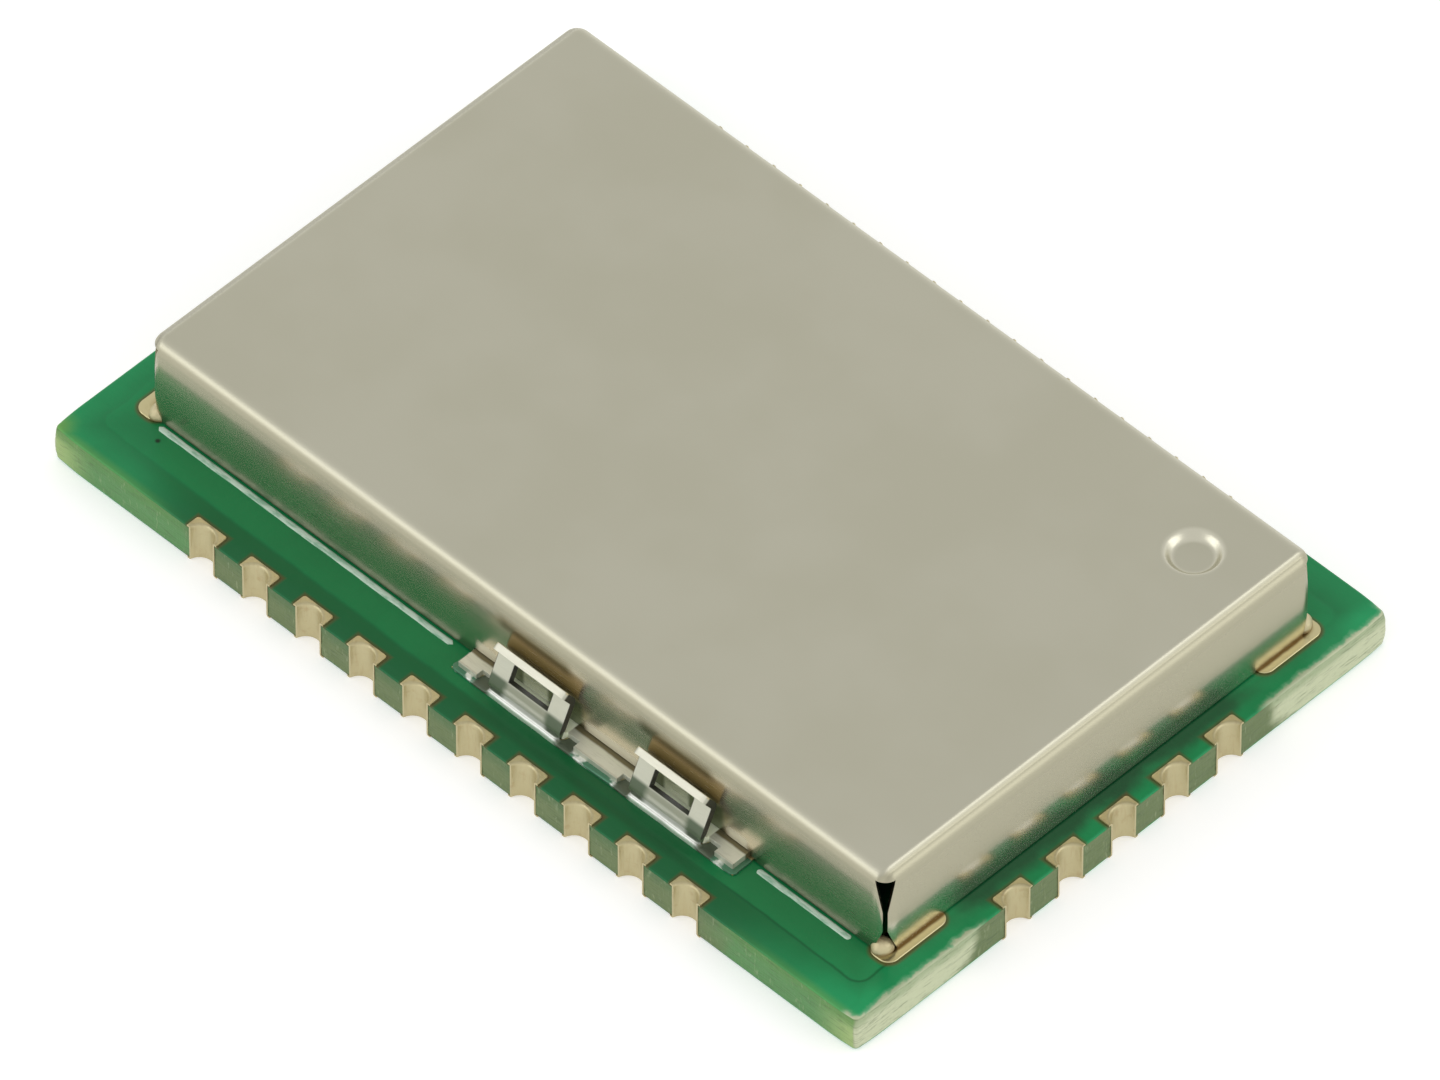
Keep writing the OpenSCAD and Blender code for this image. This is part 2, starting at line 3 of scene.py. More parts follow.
import bpy
import numpy as np
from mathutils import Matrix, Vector


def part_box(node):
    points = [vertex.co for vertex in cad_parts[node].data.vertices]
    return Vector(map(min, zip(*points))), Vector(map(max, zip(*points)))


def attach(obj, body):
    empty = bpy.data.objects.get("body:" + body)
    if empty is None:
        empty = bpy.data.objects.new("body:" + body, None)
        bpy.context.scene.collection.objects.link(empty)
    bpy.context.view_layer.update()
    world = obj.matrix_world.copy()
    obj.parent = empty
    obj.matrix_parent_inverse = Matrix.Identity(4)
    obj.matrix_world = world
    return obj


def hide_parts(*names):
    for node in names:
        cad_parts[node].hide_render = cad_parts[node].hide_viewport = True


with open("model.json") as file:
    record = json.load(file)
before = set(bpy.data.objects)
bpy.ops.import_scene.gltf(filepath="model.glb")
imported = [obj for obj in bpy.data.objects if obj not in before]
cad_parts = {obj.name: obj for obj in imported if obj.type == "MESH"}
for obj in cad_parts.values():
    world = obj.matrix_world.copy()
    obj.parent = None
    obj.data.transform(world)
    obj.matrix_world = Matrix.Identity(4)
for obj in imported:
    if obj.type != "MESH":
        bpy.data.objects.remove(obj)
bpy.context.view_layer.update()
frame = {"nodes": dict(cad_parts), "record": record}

# Circuit board
# A glass-epoxy laminate routed to size, with glossy green solder mask on both faces and bare
# cut edges. Drilled holes that the router cut through leave half holes along three sides.
MM = 0.001


def solid_box(node):
    """The low and high corners of a node's solids, in millimetres."""
    return np.array(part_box(node)) / MM


board_low, board_high = solid_box("circuit_board")
board_l, board_w, board_t = board_high - board_low
BOARD_CORNERS_R = (0.08, 0.08, 0.1, 0.08)
CORNER_WEAR = 0.05
CORNER_WEAR_L = 0.7
HOLE_OUT = 0.07
DRILLED_R = 0.31
UNDERSIDE = 0.004
MASK_EDGE = 0.05
MASK_ROWS = 6
BARE_FROM = 0.1
EDGE_ROUGHNESS = 0.022
mounts = {mount["name"]: mount for mount in frame["record"]["mounts"]}
side_row = mounts["front_contact_row"]
end_row = mounts["end_contact_row"]
PITCH = side_row["dims"]["spacing_x_mm"]


def row_places(mount, axis):
    """Centres of one row of half holes: evenly spaced about the middle of its mount."""
    count = mount["dims"]["count"]
    return mount["pos_m"][axis] / MM + PITCH * (np.arange(count) - (count - 1) / 2)


side_holes = row_places(side_row, 0)
end_holes = row_places(end_row, 1)


def hole_arc(radius, count):
    """Points of the arc that a hole cuts into the board, as place along the edge and depth: a
    circle centred just outside the edge."""
    swing = np.linspace(-1, 1, count) * np.arccos(HOLE_OUT / radius)
    return np.stack([radius * np.sin(swing), radius * np.cos(swing) - HOLE_OUT], -1)


def edge_run(start, stop, holes):
    """One side of the board, as place along it and depth into the board: straight runs, with an
    arc at each hole between them."""
    arc = hole_arc(DRILLED_R, 19).T
    chord = arc[0, -1]
    starts = np.concatenate([[start], holes + chord])
    ends = np.concatenate([holes - chord, [stop]])
    share = np.linspace(0, 1, 14)[1:-1] if len(holes) else np.linspace(0, 1, 90)[1:-1]
    runs = starts[:, None] + (ends - starts)[:, None] * share
    parts = [[runs[0], 0 * runs[0]]]
    for hole, run in zip(holes, runs[1:]):
        parts += [arc + [[hole], [0]], [run, 0 * run]]
    return np.concatenate(parts, axis=1)


def circle(turn):
    """Points of a circle of radius 1 at these angles."""
    return np.stack([np.cos(turn), np.sin(turn)], -1)


def edge_axes(quarter):
    """The direction along one of four sides, drawn anticlockwise, and the one into the board."""
    angle = quarter * np.pi / 2
    return np.array([[np.cos(angle), np.sin(angle)], [-np.sin(angle), np.cos(angle)]])


def board_ring(inset):
    """The board's outline and its inward directions, drawn anticlockwise, and a plain rounded
    rectangle that lies inset from it, point for point."""
    outline, inward, ring = [], [], []
    half = np.array([board_l, board_w]) / 2
    ring_r = 0.4
    turn = np.linspace(0, 1, 10) * np.pi / 2
    for quarter, holes in enumerate((side_holes, end_holes, -side_holes[::-1], np.zeros(0))):
        reach, out = (half[0], half[1]) if quarter % 2 == 0 else (half[1], half[0])
        before, after = BOARD_CORNERS_R[quarter - 1], BOARD_CORNERS_R[quarter]
        ends = np.array([before - reach, reach - after])
        along, depth = edge_run(*ends, holes)
        ahead, inside = edge_axes(quarter)
        outline.append(along[:, None] * ahead + (depth - out)[:, None] * inside)
        inward.append(np.broadcast_to(inside, (len(along), 2)))
        ring_end = reach - inset - ring_r
        keep = np.abs(holes).max(initial=0) + 2 * DRILLED_R
        ring_along = np.interp(along, [ends[0], -keep, keep, ends[1]],
                               [-ring_end, -keep, keep, ring_end])
        ring.append(ring_along[:, None] * ahead + (inset - out) * inside)
        swing = circle(turn) @ [-inside, ahead]
        outline.append((reach - after) * ahead - (out - after) * inside + after * swing)
        inward.append(-swing)
        ring.append(ring_end * ahead - (out - inset - ring_r) * inside + ring_r * swing)
    return np.concatenate(outline), np.concatenate(inward), np.concatenate(ring)


def grid_quads(rows, cols, around=False):
    """Quads of a grid of points kept row by row; around joins the last column to the first."""
    row, col = np.meshgrid(np.arange(rows - 1), np.arange(cols if around else cols - 1),
                           indexing="ij")
    here, beside = row * cols + col, row * cols + (col + 1) % cols
    return np.stack([here, beside, beside + cols, here + cols], -1).reshape(-1, 4)


def at_heights(rows, z):
    """Rows of plan points, each row lifted to its own height."""
    return np.concatenate([rows, np.broadcast_to(z[:, None, None], (*rows.shape[:2], 1))], -1)


def capped(rings, flip=False):
    """A tube of rings as points and faces, closed by one face at each end; flip turns it over."""
    rows, cols = rings.shape[:2]
    first = np.arange(cols)
    faces = [*grid_quads(rows, cols, around=True), first[::-1], first + (rows - 1) * cols]
    return rings.reshape(-1, 3), [face[::-1 if flip else 1].tolist() for face in faces]


def soft_noise(seed, *coordinates):
    """Smooth noise from 0 to 1: the mean of sines that run in random directions."""
    draw = np.random.default_rng(seed)
    waves = draw.normal(size=(14, len(coordinates)))
    phases = draw.uniform(0, 2 * np.pi, 14)
    total = sum(np.sin(sum(w * c for w, c in zip(wave, coordinates)) + phase)
                for wave, phase in zip(waves, phases))
    return np.clip(0.5 + total / 12, 0, 1)


def mesh_piece(name, points, faces, sharp=35):
    """A mesh object at the origin from points in millimetres, smooth below the sharp angle."""
    mesh = bpy.data.meshes.new(name)
    mesh.from_pydata((np.asarray(points) * MM).tolist(), [], faces)
    mesh.shade_smooth()
    mesh.set_sharp_from_angle(angle=np.radians(sharp))
    piece = bpy.data.objects.new(name, mesh)
    bpy.context.scene.collection.objects.link(piece)
    return piece


def board_mesh():
    """The outline carried up through rows of height and inset: underside, rough cut edge,
    rounded mask edge and top, with one face to close the middle of each side."""
    outline, inward, ring = board_ring(inset=1.6)
    heights = np.linspace(UNDERSIDE + MASK_EDGE, board_t - MASK_EDGE, 15)
    round_off = MASK_EDGE * (1 - np.cos(np.linspace(0, 1, 5) * np.pi / 2))
    rise = MASK_EDGE * np.sin(np.linspace(0, 1, 5) * np.pi / 2)
    z = np.concatenate([[UNDERSIDE] * 2, UNDERSIDE + MASK_EDGE - rise[::-1], heights,
                        board_t - MASK_EDGE + rise, [board_t] * 2])
    inset = np.concatenate([[0, 1.3 * MASK_EDGE], round_off[::-1], 0 * heights, round_off,
                            [1.3 * MASK_EDGE, 0]])
    to_corner = np.hypot(*(np.array([board_l, board_w]) / 2 - np.abs(outline)).T)
    worn = CORNER_WEAR * np.clip(1 - to_corner / CORNER_WEAR_L, 0, 1) ** 2
    worn = np.abs(2 * z[:, None] / board_t - 1) ** 3 * worn
    rows = outline[None] + inset[:, None, None] * inward[None]
    rows = rows - worn[..., None] * np.sign(outline)[None]
    along = np.cumsum(np.hypot(*np.diff(outline, axis=0, append=outline[:1]).T))
    bare = np.clip(np.minimum(z - UNDERSIDE, board_t - z) / BARE_FROM, 0, 1)
    fibre = soft_noise(3, along[None] * 9, z[:, None] * 34) * 0.6
    fibre = fibre + soft_noise(5, along[None] * 31, z[:, None] * 60) * 0.4
    rows = rows + (bare[:, None] * fibre * EDGE_ROUGHNESS)[..., None] * inward[None]
    rows[[0, -1]] = ring
    row = np.concatenate([np.repeat(np.arange(len(z) - 1), len(outline)), [0, len(z)]])
    cut_edge = (row >= MASK_ROWS) & (row < len(z) - MASK_ROWS)
    return *capped(at_heights(rows, z)), cut_edge


class Wire:
    """One output socket of a shader. Arithmetic on wires and numbers adds Math nodes."""

    def __init__(self, tree, socket):
        self.tree, self.socket = tree, socket

    def node(self, kind, settings, inputs, out=0):
        """Adds a node of any kind: its settings first, then its sockets' values or wires."""
        made = self.tree.nodes.new(kind)
        for key, value in settings.items():
            setattr(made, key, value)
        for key, value in inputs.items():
            if isinstance(value, Wire):
                self.tree.links.new(value.socket, made.inputs[key])
            else:
                made.inputs[key].default_value = value
        return Wire(self.tree, made.outputs[out])

    def math(self, operation, first, second=0.0):
        return self.node("ShaderNodeMath", {"operation": operation}, {0: first, 1: second})

    def __add__(self, other):
        return self.math("ADD", self, other)

    def __radd__(self, other):
        return self.math("ADD", other, self)

    def __sub__(self, other):
        return self.math("SUBTRACT", self, other)

    def __rsub__(self, other):
        return self.math("SUBTRACT", other, self)

    def __mul__(self, other):
        return self.math("MULTIPLY", self, other)

    def __rmul__(self, other):
        return self.math("MULTIPLY", other, self)

    def __truediv__(self, other):
        return self.math("DIVIDE", self, other)

    def __rtruediv__(self, other):
        return self.math("DIVIDE", other, self)


def new_finish(name, **constants):
    """A material with these constant shader values. Gives the material, a function that feeds
    one socket of its shader, and the wire of the place on the piece in millimetres."""
    material = bpy.data.materials.new(name)
    material.use_nodes = True
    tree = material.node_tree
    shader = tree.nodes["Principled BSDF"]
    for key, value in constants.items():
        shader.inputs[key.replace("_", " ")].default_value = value
    start = Wire(tree, tree.nodes.new("ShaderNodeTexCoord").outputs["Object"])
    place = start.node("ShaderNodeVectorMath", {"operation": "SCALE"}, {0: start, "Scale": 1 / MM})

    def feed(socket, wire):
        tree.links.new(wire.socket, shader.inputs[socket])

    return material, feed, place


def axes(vector):
    """The three parts of a vector wire."""
    return [vector.node("ShaderNodeSeparateXYZ", {}, {0: vector}, out) for out in range(3)]


def stretched(place, x, y, z):
    """The place with each axis multiplied, to draw a pattern out along the others."""
    return place.node("ShaderNodeVectorMath", {"operation": "MULTIPLY"}, {0: place, 1: (x, y, z)})


def grain(place, scale, detail=2.0, roughness=0.5):
    """Soft noise about 0.5, with so many spots to the millimetre."""
    return place.node("ShaderNodeTexNoise", {}, {
        "Vector": place, "Scale": scale, "Detail": detail, "Roughness": roughness})


def ease(wire, low, high):
    """Rises smoothly from 0 at low to 1 at high."""
    return wire.node("ShaderNodeMapRange", {"interpolation_type": "SMOOTHSTEP"},
                     {"Value": wire, "From Min": low, "From Max": high})


def larger(first, second):
    return first.math("MAXIMUM", first, second)


def smaller(first, second):
    return first.math("MINIMUM", first, second)


def size_of(wire):
    return wire.math("ABSOLUTE", wire)


def blend(share, first, second):
    """First colour at share 0, second at share 1."""
    return share.node("ShaderNodeMix", {"data_type": "RGBA"}, {
        0: share,
        6: first if isinstance(first, Wire) else (*first, 1),
        7: second if isinstance(second, Wire) else (*second, 1)}, out=2)


def relief(height, depth_mm, strength=1.0):
    """A bump of that depth where height goes from 0 to 1."""
    return height.node("ShaderNodeBump", {}, {
        "Strength": strength, "Distance": depth_mm * MM, "Height": height})


def frame_distance(x, y, middle, half, corner):
    """Distance outside a rounded rectangle in the plane, negative inside it."""
    across = size_of(x - middle[0]) - (half[0] - corner)
    up = size_of(y - middle[1]) - (half[1] - corner)
    out_x, out_y = larger(across, 0.0), larger(up, 0.0)
    outside = (out_x * out_x + out_y * out_y)
    outside = outside.math("SQRT", outside)
    return outside + smaller(larger(across, up), 0.0) - corner


def from_nearest(along, places):
    """Signed distance along a row from the nearest of its evenly spaced places."""
    share = (along - places[0]) / PITCH + 0.5
    return (share.math("FRACT", share) - 0.5) * PITCH


LAND_W = 0.7
LAND_D = 0.275
LOWER_LAND_D = 0.9
pad_low, pad_high = solid_box("corner_ground_pads")
PAD_L, PAD_W, PAD_R = 1.5, 0.55, 0.22
pad_middle = (pad_low + pad_high) / 2
pad_reach = (pad_high - pad_low) / 2 - np.array([PAD_W, PAD_L, 0]) / 2


def pad_distance(x, y):
    """Distance outside the nearest of the four corner pads, negative inside it."""
    return frame_distance(size_of(x - pad_middle[0]), size_of(y - pad_middle[1]),
                          pad_reach, (PAD_W / 2, PAD_L / 2), PAD_R)


MASK_OVER_COPPER = (0.009, 0.205, 0.064)
MASK_OVER_LAMINATE = (0.008, 0.128, 0.040)
MASK_LIT_NEAR_ENDS = (0.014, 0.290, 0.098)
MASK_IN_SHADE = (0.010, 0.056, 0.022)
MASK_SHADOW_BY_CLIP = (0.007, 0.085, 0.026)
MASK_LIT_THROUGH = (0.230, 0.420, 0.080)
MASK_CORNER_LIGHT = (0.016, 0.360, 0.130)
MASK_FRINGE = (0.200, 0.460, 0.260)
MASK_LINE = (0.003, 0.075, 0.022)
RESIDUE_AND_SHADE = (0.135, 0.068, 0.020)
EDGE_PALE = (0.520, 0.560, 0.370)
SPECK = (-7.98, -5.39)
SPECK_R = 0.05
SPECK_DARK = (0.004, 0.016, 0.008)
POUR_MARGIN = 0.62
solder_mask, feed, place = new_finish("solder_mask", Specular_IOR_Level=0.24)
x, y, z = axes(place)
on_upper = ease(z, 0.3, 0.5)
wander = grain(place, 1.3, 3.0) - 0.5
pour = frame_distance(x, y, (-0.02, 0), (board_l / 2 - 0.5, board_w / 2 - POUR_MARGIN), 0.25)
pour = pour + wander * 0.10
edge = frame_distance(x, y, (0, 0), (board_l / 2, board_w / 2), 0.2)
colour = blend(ease(pour, -0.05, 0.05), MASK_OVER_COPPER, MASK_OVER_LAMINATE)
# Painted light: near the edges at the board's ends the mask is lighter, where light comes through
# the laminate.
ends = ease(size_of(x), 5.8, 8.6)
colour = blend(ends * ease(edge, -1.2, 0.0), colour, MASK_LIT_NEAR_ENDS)
# Painted light: the mask is brighter towards the corners at the right-hand end and along the front
# edge there.
bright = larger(ease(x, 8.9, 9.3) * ease(size_of(y), 5.3, 6.0),
                ease(x, 7.8, 9.2) * ease(y, -5.6, -6.2))
colour = blend(bright * 0.8 * on_upper, colour, MASK_CORNER_LIGHT)
front_glow = ease(y, 0.2 - board_w / 2, -board_w / 2) * ease(size_of(x) + 0.8 * wander, 6.0, 8.6)
tip = frame_distance(x, y, (-board_l / 2, -board_w / 2), (0.01, 0.01), 0.01) + 0.5 * wander
corner_glow = larger(front_glow * 0.6, ease(tip, 0.55, 0.05))
colour = blend(corner_glow * 0.6 * on_upper, colour, MASK_LIT_THROUGH)
shade = ease(x, 8.6, 8.8) * ease(x + 0.6 * wander, 9.35, 9.0) * ease(size_of(y) + wander, 3.7, 3.0)
colour = blend(shade * 0.85 * on_upper, colour, MASK_IN_SHADE)
# Painted shadow: the mask darkens in front of the clip, between it and the contacts.
clip_shadow = ease(size_of(x - 2.6), 3.2, 2.0) * ease(y, -5.35, -5.6) * ease(y, -6.05, -5.9)
colour = blend(clip_shadow * 0.8 * on_upper, colour, MASK_SHADOW_BY_CLIP)
pour_line = ease(size_of(pour), 0.045, 0.0)
pour_line = pour_line * (0.10 + 0.60 * ease(x, 4.6, 6.4)) * ease(y, -4.6, -5.1)
colour = blend(pour_line * on_upper, colour, MASK_LINE)
land_d = LOWER_LAND_D - (LOWER_LAND_D - LAND_D) * on_upper
side_land = larger(size_of(from_nearest(x, side_holes)) - LAND_W / 2,
                   board_w / 2 - land_d - size_of(y))
side_land = larger(side_land, size_of(x - side_holes.mean()) - PITCH * len(side_holes) / 2)
end_land = larger(size_of(from_nearest(y, end_holes)) - LAND_W / 2,
                  board_l / 2 - land_d - x)
end_land = larger(end_land, size_of(y) - PITCH * len(end_holes) / 2)
pad = pad_distance(x, y) + board_l * (1 - on_upper)
opening = smaller(smaller(side_land, end_land), pad) + wander * 0.03
# A brown rim round each opening in the mask: partly flux residue, partly painted shade in the gap
# where the mask stops.
colour = blend(ease(opening, 0.10, 0.0) * 0.8, colour, RESIDUE_AND_SHADE)
speck = frame_distance(x, y, SPECK, (SPECK_R, SPECK_R), SPECK_R)
colour = blend(ease(speck, 0.02, -0.03) * on_upper, colour, SPECK_DARK)
ragged = edge + 0.22 * (grain(place, 4.0, 3.0, 0.6) - 0.5)
broken = ease(x, 9.1, 9.3) * ease(size_of(y), 3.2, 3.6) * on_upper
colour = blend(broken * ease(ragged, -0.16, -0.06) * 0.7, colour, MASK_FRINGE)
colour = blend(broken * ease(ragged, -0.09, -0.03), colour, EDGE_PALE)
cloudy = grain(place, 0.7, 4.0, 0.55)
colour = blend(ease(cloudy, 0.3, 0.75) * 0.35, colour, MASK_OVER_LAMINATE)
weave = grain(stretched(place, 1.0, 5.0, 1.0), 2.2) + grain(stretched(place, 5.0, 1.0, 1.0), 2.2)
feed("Base Color", colour)
feed("Roughness", 0.16 + 0.14 * grain(place, 6.0, 3.0))
feed("Normal", relief(0.5 * weave + ease(pour, 0.06, -0.06) + 0.2 * grain(place, 9.0), 0.006))

EDGE_OLIVE = (0.130, 0.180, 0.072)
EDGE_GREEN = (0.094, 0.246, 0.080)
EDGE_LIGHT_AT_ENDS = (0.330, 0.450, 0.165)
EDGE_DEEP = (0.070, 0.110, 0.045)
EDGE_UNDER_MASK = (0.045, 0.130, 0.040)
EDGE_PALE_UPPER = (0.340, 0.410, 0.240)
EDGE_LIT = (0.086, 0.230, 0.052)
cut_laminate, feed, place = new_finish("cut_laminate", Specular_IOR_Level=0.4)
x, y, z = axes(place)
wander = grain(place, 1.6, 3.0) - 0.5
layers = grain(stretched(place, 1.0, 1.0, 9.0), 3.0, 3.0, 0.6)
strands = grain(stretched(place, 7.0, 7.0, 1.5), 2.4, 2.0, 0.6)
colour = blend(ease(size_of(x) + wander, 5.9, 6.6), EDGE_OLIVE, EDGE_GREEN)
# Painted light: the cut edge is lighter towards the board's ends.
colour = blend(ease(size_of(x), 8.4, 9.6), colour, EDGE_LIGHT_AT_ENDS)
on_end = ease(size_of(x), board_l / 2 - 0.10, board_l / 2 - 0.04)
colour = blend(on_end, colour, EDGE_OLIVE)
broken = ease(size_of(y) + 0.9 * wander + 0.5 * (z - 0.5), 3.35, 3.75)
pale = blend(ease(z + 0.2 * wander, 0.48, 0.70), EDGE_PALE, EDGE_PALE_UPPER)
colour = blend(on_end * broken, colour, pale)
upper = ease(z + 0.25 * wander, 0.40, 0.78) * (1 - on_end)
far_out = ease(size_of(x), 5.9, 7.0)
colour = blend(upper * (1 - far_out) * 0.6, colour, EDGE_UNDER_MASK)
colour = blend(upper * far_out * 0.85, colour, EDGE_LIT)
colour = blend(ease(layers, 0.5, 0.72) * 0.55, colour, EDGE_DEEP)
colour = blend(ease(strands, 0.58, 0.78) * 0.25, colour, EDGE_PALE)
feed("Base Color", colour)
feed("Roughness", 0.45 + 0.3 * strands)
feed("Normal", relief(0.6 * layers + 0.4 * strands, 0.02))

points, faces, cut_edge = board_mesh()
laminate = mesh_piece("masked_laminate", points, faces)
laminate.data.materials.append(solder_mask)
laminate.data.materials.append(cut_laminate)
laminate.data.polygons.foreach_set("material_index", cut_edge.astype(np.int32))
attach(laminate, "root")
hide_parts("circuit_board")

# Printed outline
# Two white strokes of screen-printed ink along the can's front foot, a few hundredths of a
# millimetre thick, broken where the clip's land lies.
can_low, can_high = solid_box("shield_can")
land_low, land_high = solid_box("front_clip_land")
INK_W = 0.12
INK_T = 0.014
INK_OUT = 0.09
INK_CLEARANCES = (0.36, 0.20)
INK_INSETS = (0.36, 0.72)
INK_RAGGED = 0.22
SUNK = 0.002


def ink_stroke(x_from, x_to, y):
    """A low dome carried along X: width and height shrink to the rounded ends, and the sides
    waver as printed ink does."""
    run = np.linspace(0, 1, 121)
    length = x_to - x_from
    to_end = np.minimum(run, 1 - run) * length / (INK_W / 2)
    close = np.sqrt(np.clip(1 - (1 - np.clip(to_end, 0, 1)) ** 2, 0.0025, 1))
    along = x_from + length * run
    across = np.linspace(-1, 1, 9)
    ragged = 1 + INK_RAGGED * (soft_noise(11, along[:, None] * 7, np.sign(across)[None] * 3) - 0.5)
    side = y + INK_W / 2 * across[None] * close[:, None] * ragged
    dome = board_t + INK_T * close[:, None] * (1 - across[None] ** 4)
    top = np.stack(np.broadcast_arrays(along[:, None], side, dome), -1)
    base = top[:, ::-1] * (1, 1, 0) + (0, 0, board_t - SUNK)
    return capped(np.concatenate([top, base], axis=1), flip=True)


def joined(parts):
    """Several meshes as one: their points stacked, and their faces renumbered to suit."""
    points, faces, start = [], [], 0
    for part_points, part_faces in parts:
        points.append(part_points)
        faces += [[start + corner for corner in face] for face in part_faces]
        start += len(part_points)
    return np.concatenate(points), faces


INK_WHITE = (0.54, 0.70, 0.59)
INK_THIN = (0.27, 0.48, 0.35)
printed_ink, feed, place = new_finish("printed_ink", Specular_IOR_Level=0.35)
patches = grain(stretched(place, 1.0, 4.0, 1.0), 3.2, 4.0, 0.6)
feed("Base Color", blend(ease(patches, 0.42, 0.68), INK_WHITE, INK_THIN))
feed("Roughness", 0.45 + 0.25 * patches)
feed("Normal", relief(grain(place, 24.0), 0.004))
ink_y = can_low[1] - INK_OUT
strokes = joined([
    ink_stroke(can_low[0] + INK_INSETS[0], land_low[0] - INK_CLEARANCES[0], ink_y),
    ink_stroke(land_high[0] + INK_CLEARANCES[1], can_high[0] - INK_INSETS[1], ink_y)])
legend = mesh_piece("printed_outline", *strokes, sharp=60)
legend.data.materials.append(printed_ink)
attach(legend, "root")

# Edge contacts
# Plated half holes: copper with nickel and a thin coat of gold, one barrel through the board
# with a short land on top and a longer one below. They are plated before the edge is routed.
land_top = solid_box("left_edge_contacts")[1, 2]
PLATED_R = 0.275
LAND_R = 0.05
LAND_T = 0.035
LAND_EDGE = LAND_T / 3
RIM_R = 0.045
rim_turn = np.linspace(0, 1, 6) * np.pi / 2


def land_outline(share, depth):
    """A walk round three sides of a land, from one end of its cut edge to the other: each corner
    is a quarter circle, and the share is of the whole length."""
    half, straight = LAND_W / 2, depth - LAND_R
    arc, width = LAND_R * np.pi / 2, LAND_W - 2 * LAND_R
    way = share * (2 * straight + 2 * arc + width)
    up = np.clip(way, 0, straight)
    first = np.clip(way - straight, 0, arc) / LAND_R
    over = np.clip(way - straight - arc, 0, width)
    second = np.clip(way - straight - arc - width, 0, arc) / LAND_R
    down = np.clip(way - straight - 2 * arc - width, 0, straight)
    x = -half + LAND_R * (1 - np.cos(first)) + over + LAND_R * np.sin(second)
    y = up + LAND_R * np.sin(first) - LAND_R * (1 - np.cos(second)) - down
    return np.stack([x, y], -1)


def land_rows(barrel, land):
    """Rows from the barrel's end out over a land: a quarter circle over the rim, then shares of the
    straight way, the last of them a little short of the land's edge."""
    out = land - barrel
    way = out / np.maximum(np.hypot(*out.T), RIM_R)[:, None]
    rim = RIM_R * (1 - np.cos(rim_turn))[:, None, None] * way
    share = np.linspace(0.55, 1, 4)[:, None, None]
    return barrel + np.concatenate([rim, share * out - LAND_EDGE * way * (share == 1)])


def edge_contact():
    """A closed section carried round the half hole. The section goes up the barrel, rolls over
    the rim, runs out on the upper land, and comes back behind the barrel and under the board."""
    share = np.linspace(0, 1, 49)
    barrel, back = hole_arc(PLATED_R, len(share)), hole_arc(DRILLED_R, len(share))
    upper, lower = land_outline(share, LAND_D), land_outline(share, LOWER_LAND_D)
    section = np.concatenate([barrel + np.zeros((9, 1, 1)), land_rows(barrel, upper),
                              [upper, upper, back, back, lower, lower],
                              land_rows(barrel, lower)[::-1]])
    rise = RIM_R * np.sin(rim_turn)
    z = np.concatenate([np.linspace(2 * RIM_R, land_top - 2 * RIM_R, 9),
                        land_top - RIM_R + rise, np.full(4, land_top),
                        [land_top - LAND_EDGE, board_t - SUNK, board_t - SUNK],
                        [LAND_T, LAND_T, LAND_EDGE], np.zeros(4), RIM_R - rise[::-1]])
    return capped(at_heights(section, z).transpose(1, 0, 2))


def contact_row(places, quarter):
    """Copies of one contact along an edge, turned so that its board side points inwards."""
    points, faces = edge_contact()
    axes_of_edge = np.eye(3)
    axes_of_edge[:2, :2] = edge_axes(quarter)
    out = (board_w if quarter % 2 == 0 else board_l) / 2
    return joined([((points + (along, -out, 0)) @ axes_of_edge, faces) for along in places])


GOLD_BARREL = (0.55, 0.49, 0.295)
GOLD_LAND = (0.60, 0.53, 0.30)
GOLD_DULL = (0.42, 0.29, 0.15)
gold_plating, feed, place = new_finish("gold_plating", Metallic=1.0)
x, y, z = axes(place)
side_hole = (from_nearest(x, side_holes), board_w / 2 + HOLE_OUT - size_of(y))
end_hole = (from_nearest(y, end_holes), board_l / 2 + HOLE_OUT - x)
from_hole = smaller(*(u * u + v * v for u, v in (side_hole, end_hole)))
on_land = ease(from_hole.math("SQRT", from_hole), PLATED_R + RIM_R, DRILLED_R + RIM_R)
mottle = grain(place, 5.0, 4.0, 0.6)
streaks = grain(stretched(place, 6.0, 6.0, 0.8), 3.0, 3.0, 0.6)
colour = blend(on_land, GOLD_BARREL, GOLD_LAND)
colour = blend(ease(mottle, 0.55, 0.8) * 0.5, colour, GOLD_DULL)
colour = blend(ease(streaks, 0.5, 0.75) * 0.25, colour, GOLD_DULL)
feed("Base Color", colour)
feed("Roughness", 0.34 + 0.2 * mottle)
feed("Normal", relief(0.6 * streaks + 0.4 * grain(place, 18.0, 3.0), 0.010))
for name, node, places, quarter in (
        ("front_barrels", "left_edge_contacts", side_holes, 0),
        ("end_barrels", "end_edge_contacts", end_holes, 1),
        ("rear_barrels", "right_edge_contacts", -side_holes, 2)):
    barrels = mesh_piece(name, *contact_row(places, quarter), sharp=50)
    barrels.data.materials.append(gold_plating)
    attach(barrels, "root")
    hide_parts(node)

# Corner pads
# Four gold-plated copper pads on which the can's corners stand. Flux from soldering leaves brown
# patches on them; the dark line along each wall's foot is partly flux and partly painted shade.
CAN_CORNER_R = 0.3
PAD_ROLL = 0.6 * LAND_T
can_middle = (can_low + can_high) / 2
can_size = can_high - can_low


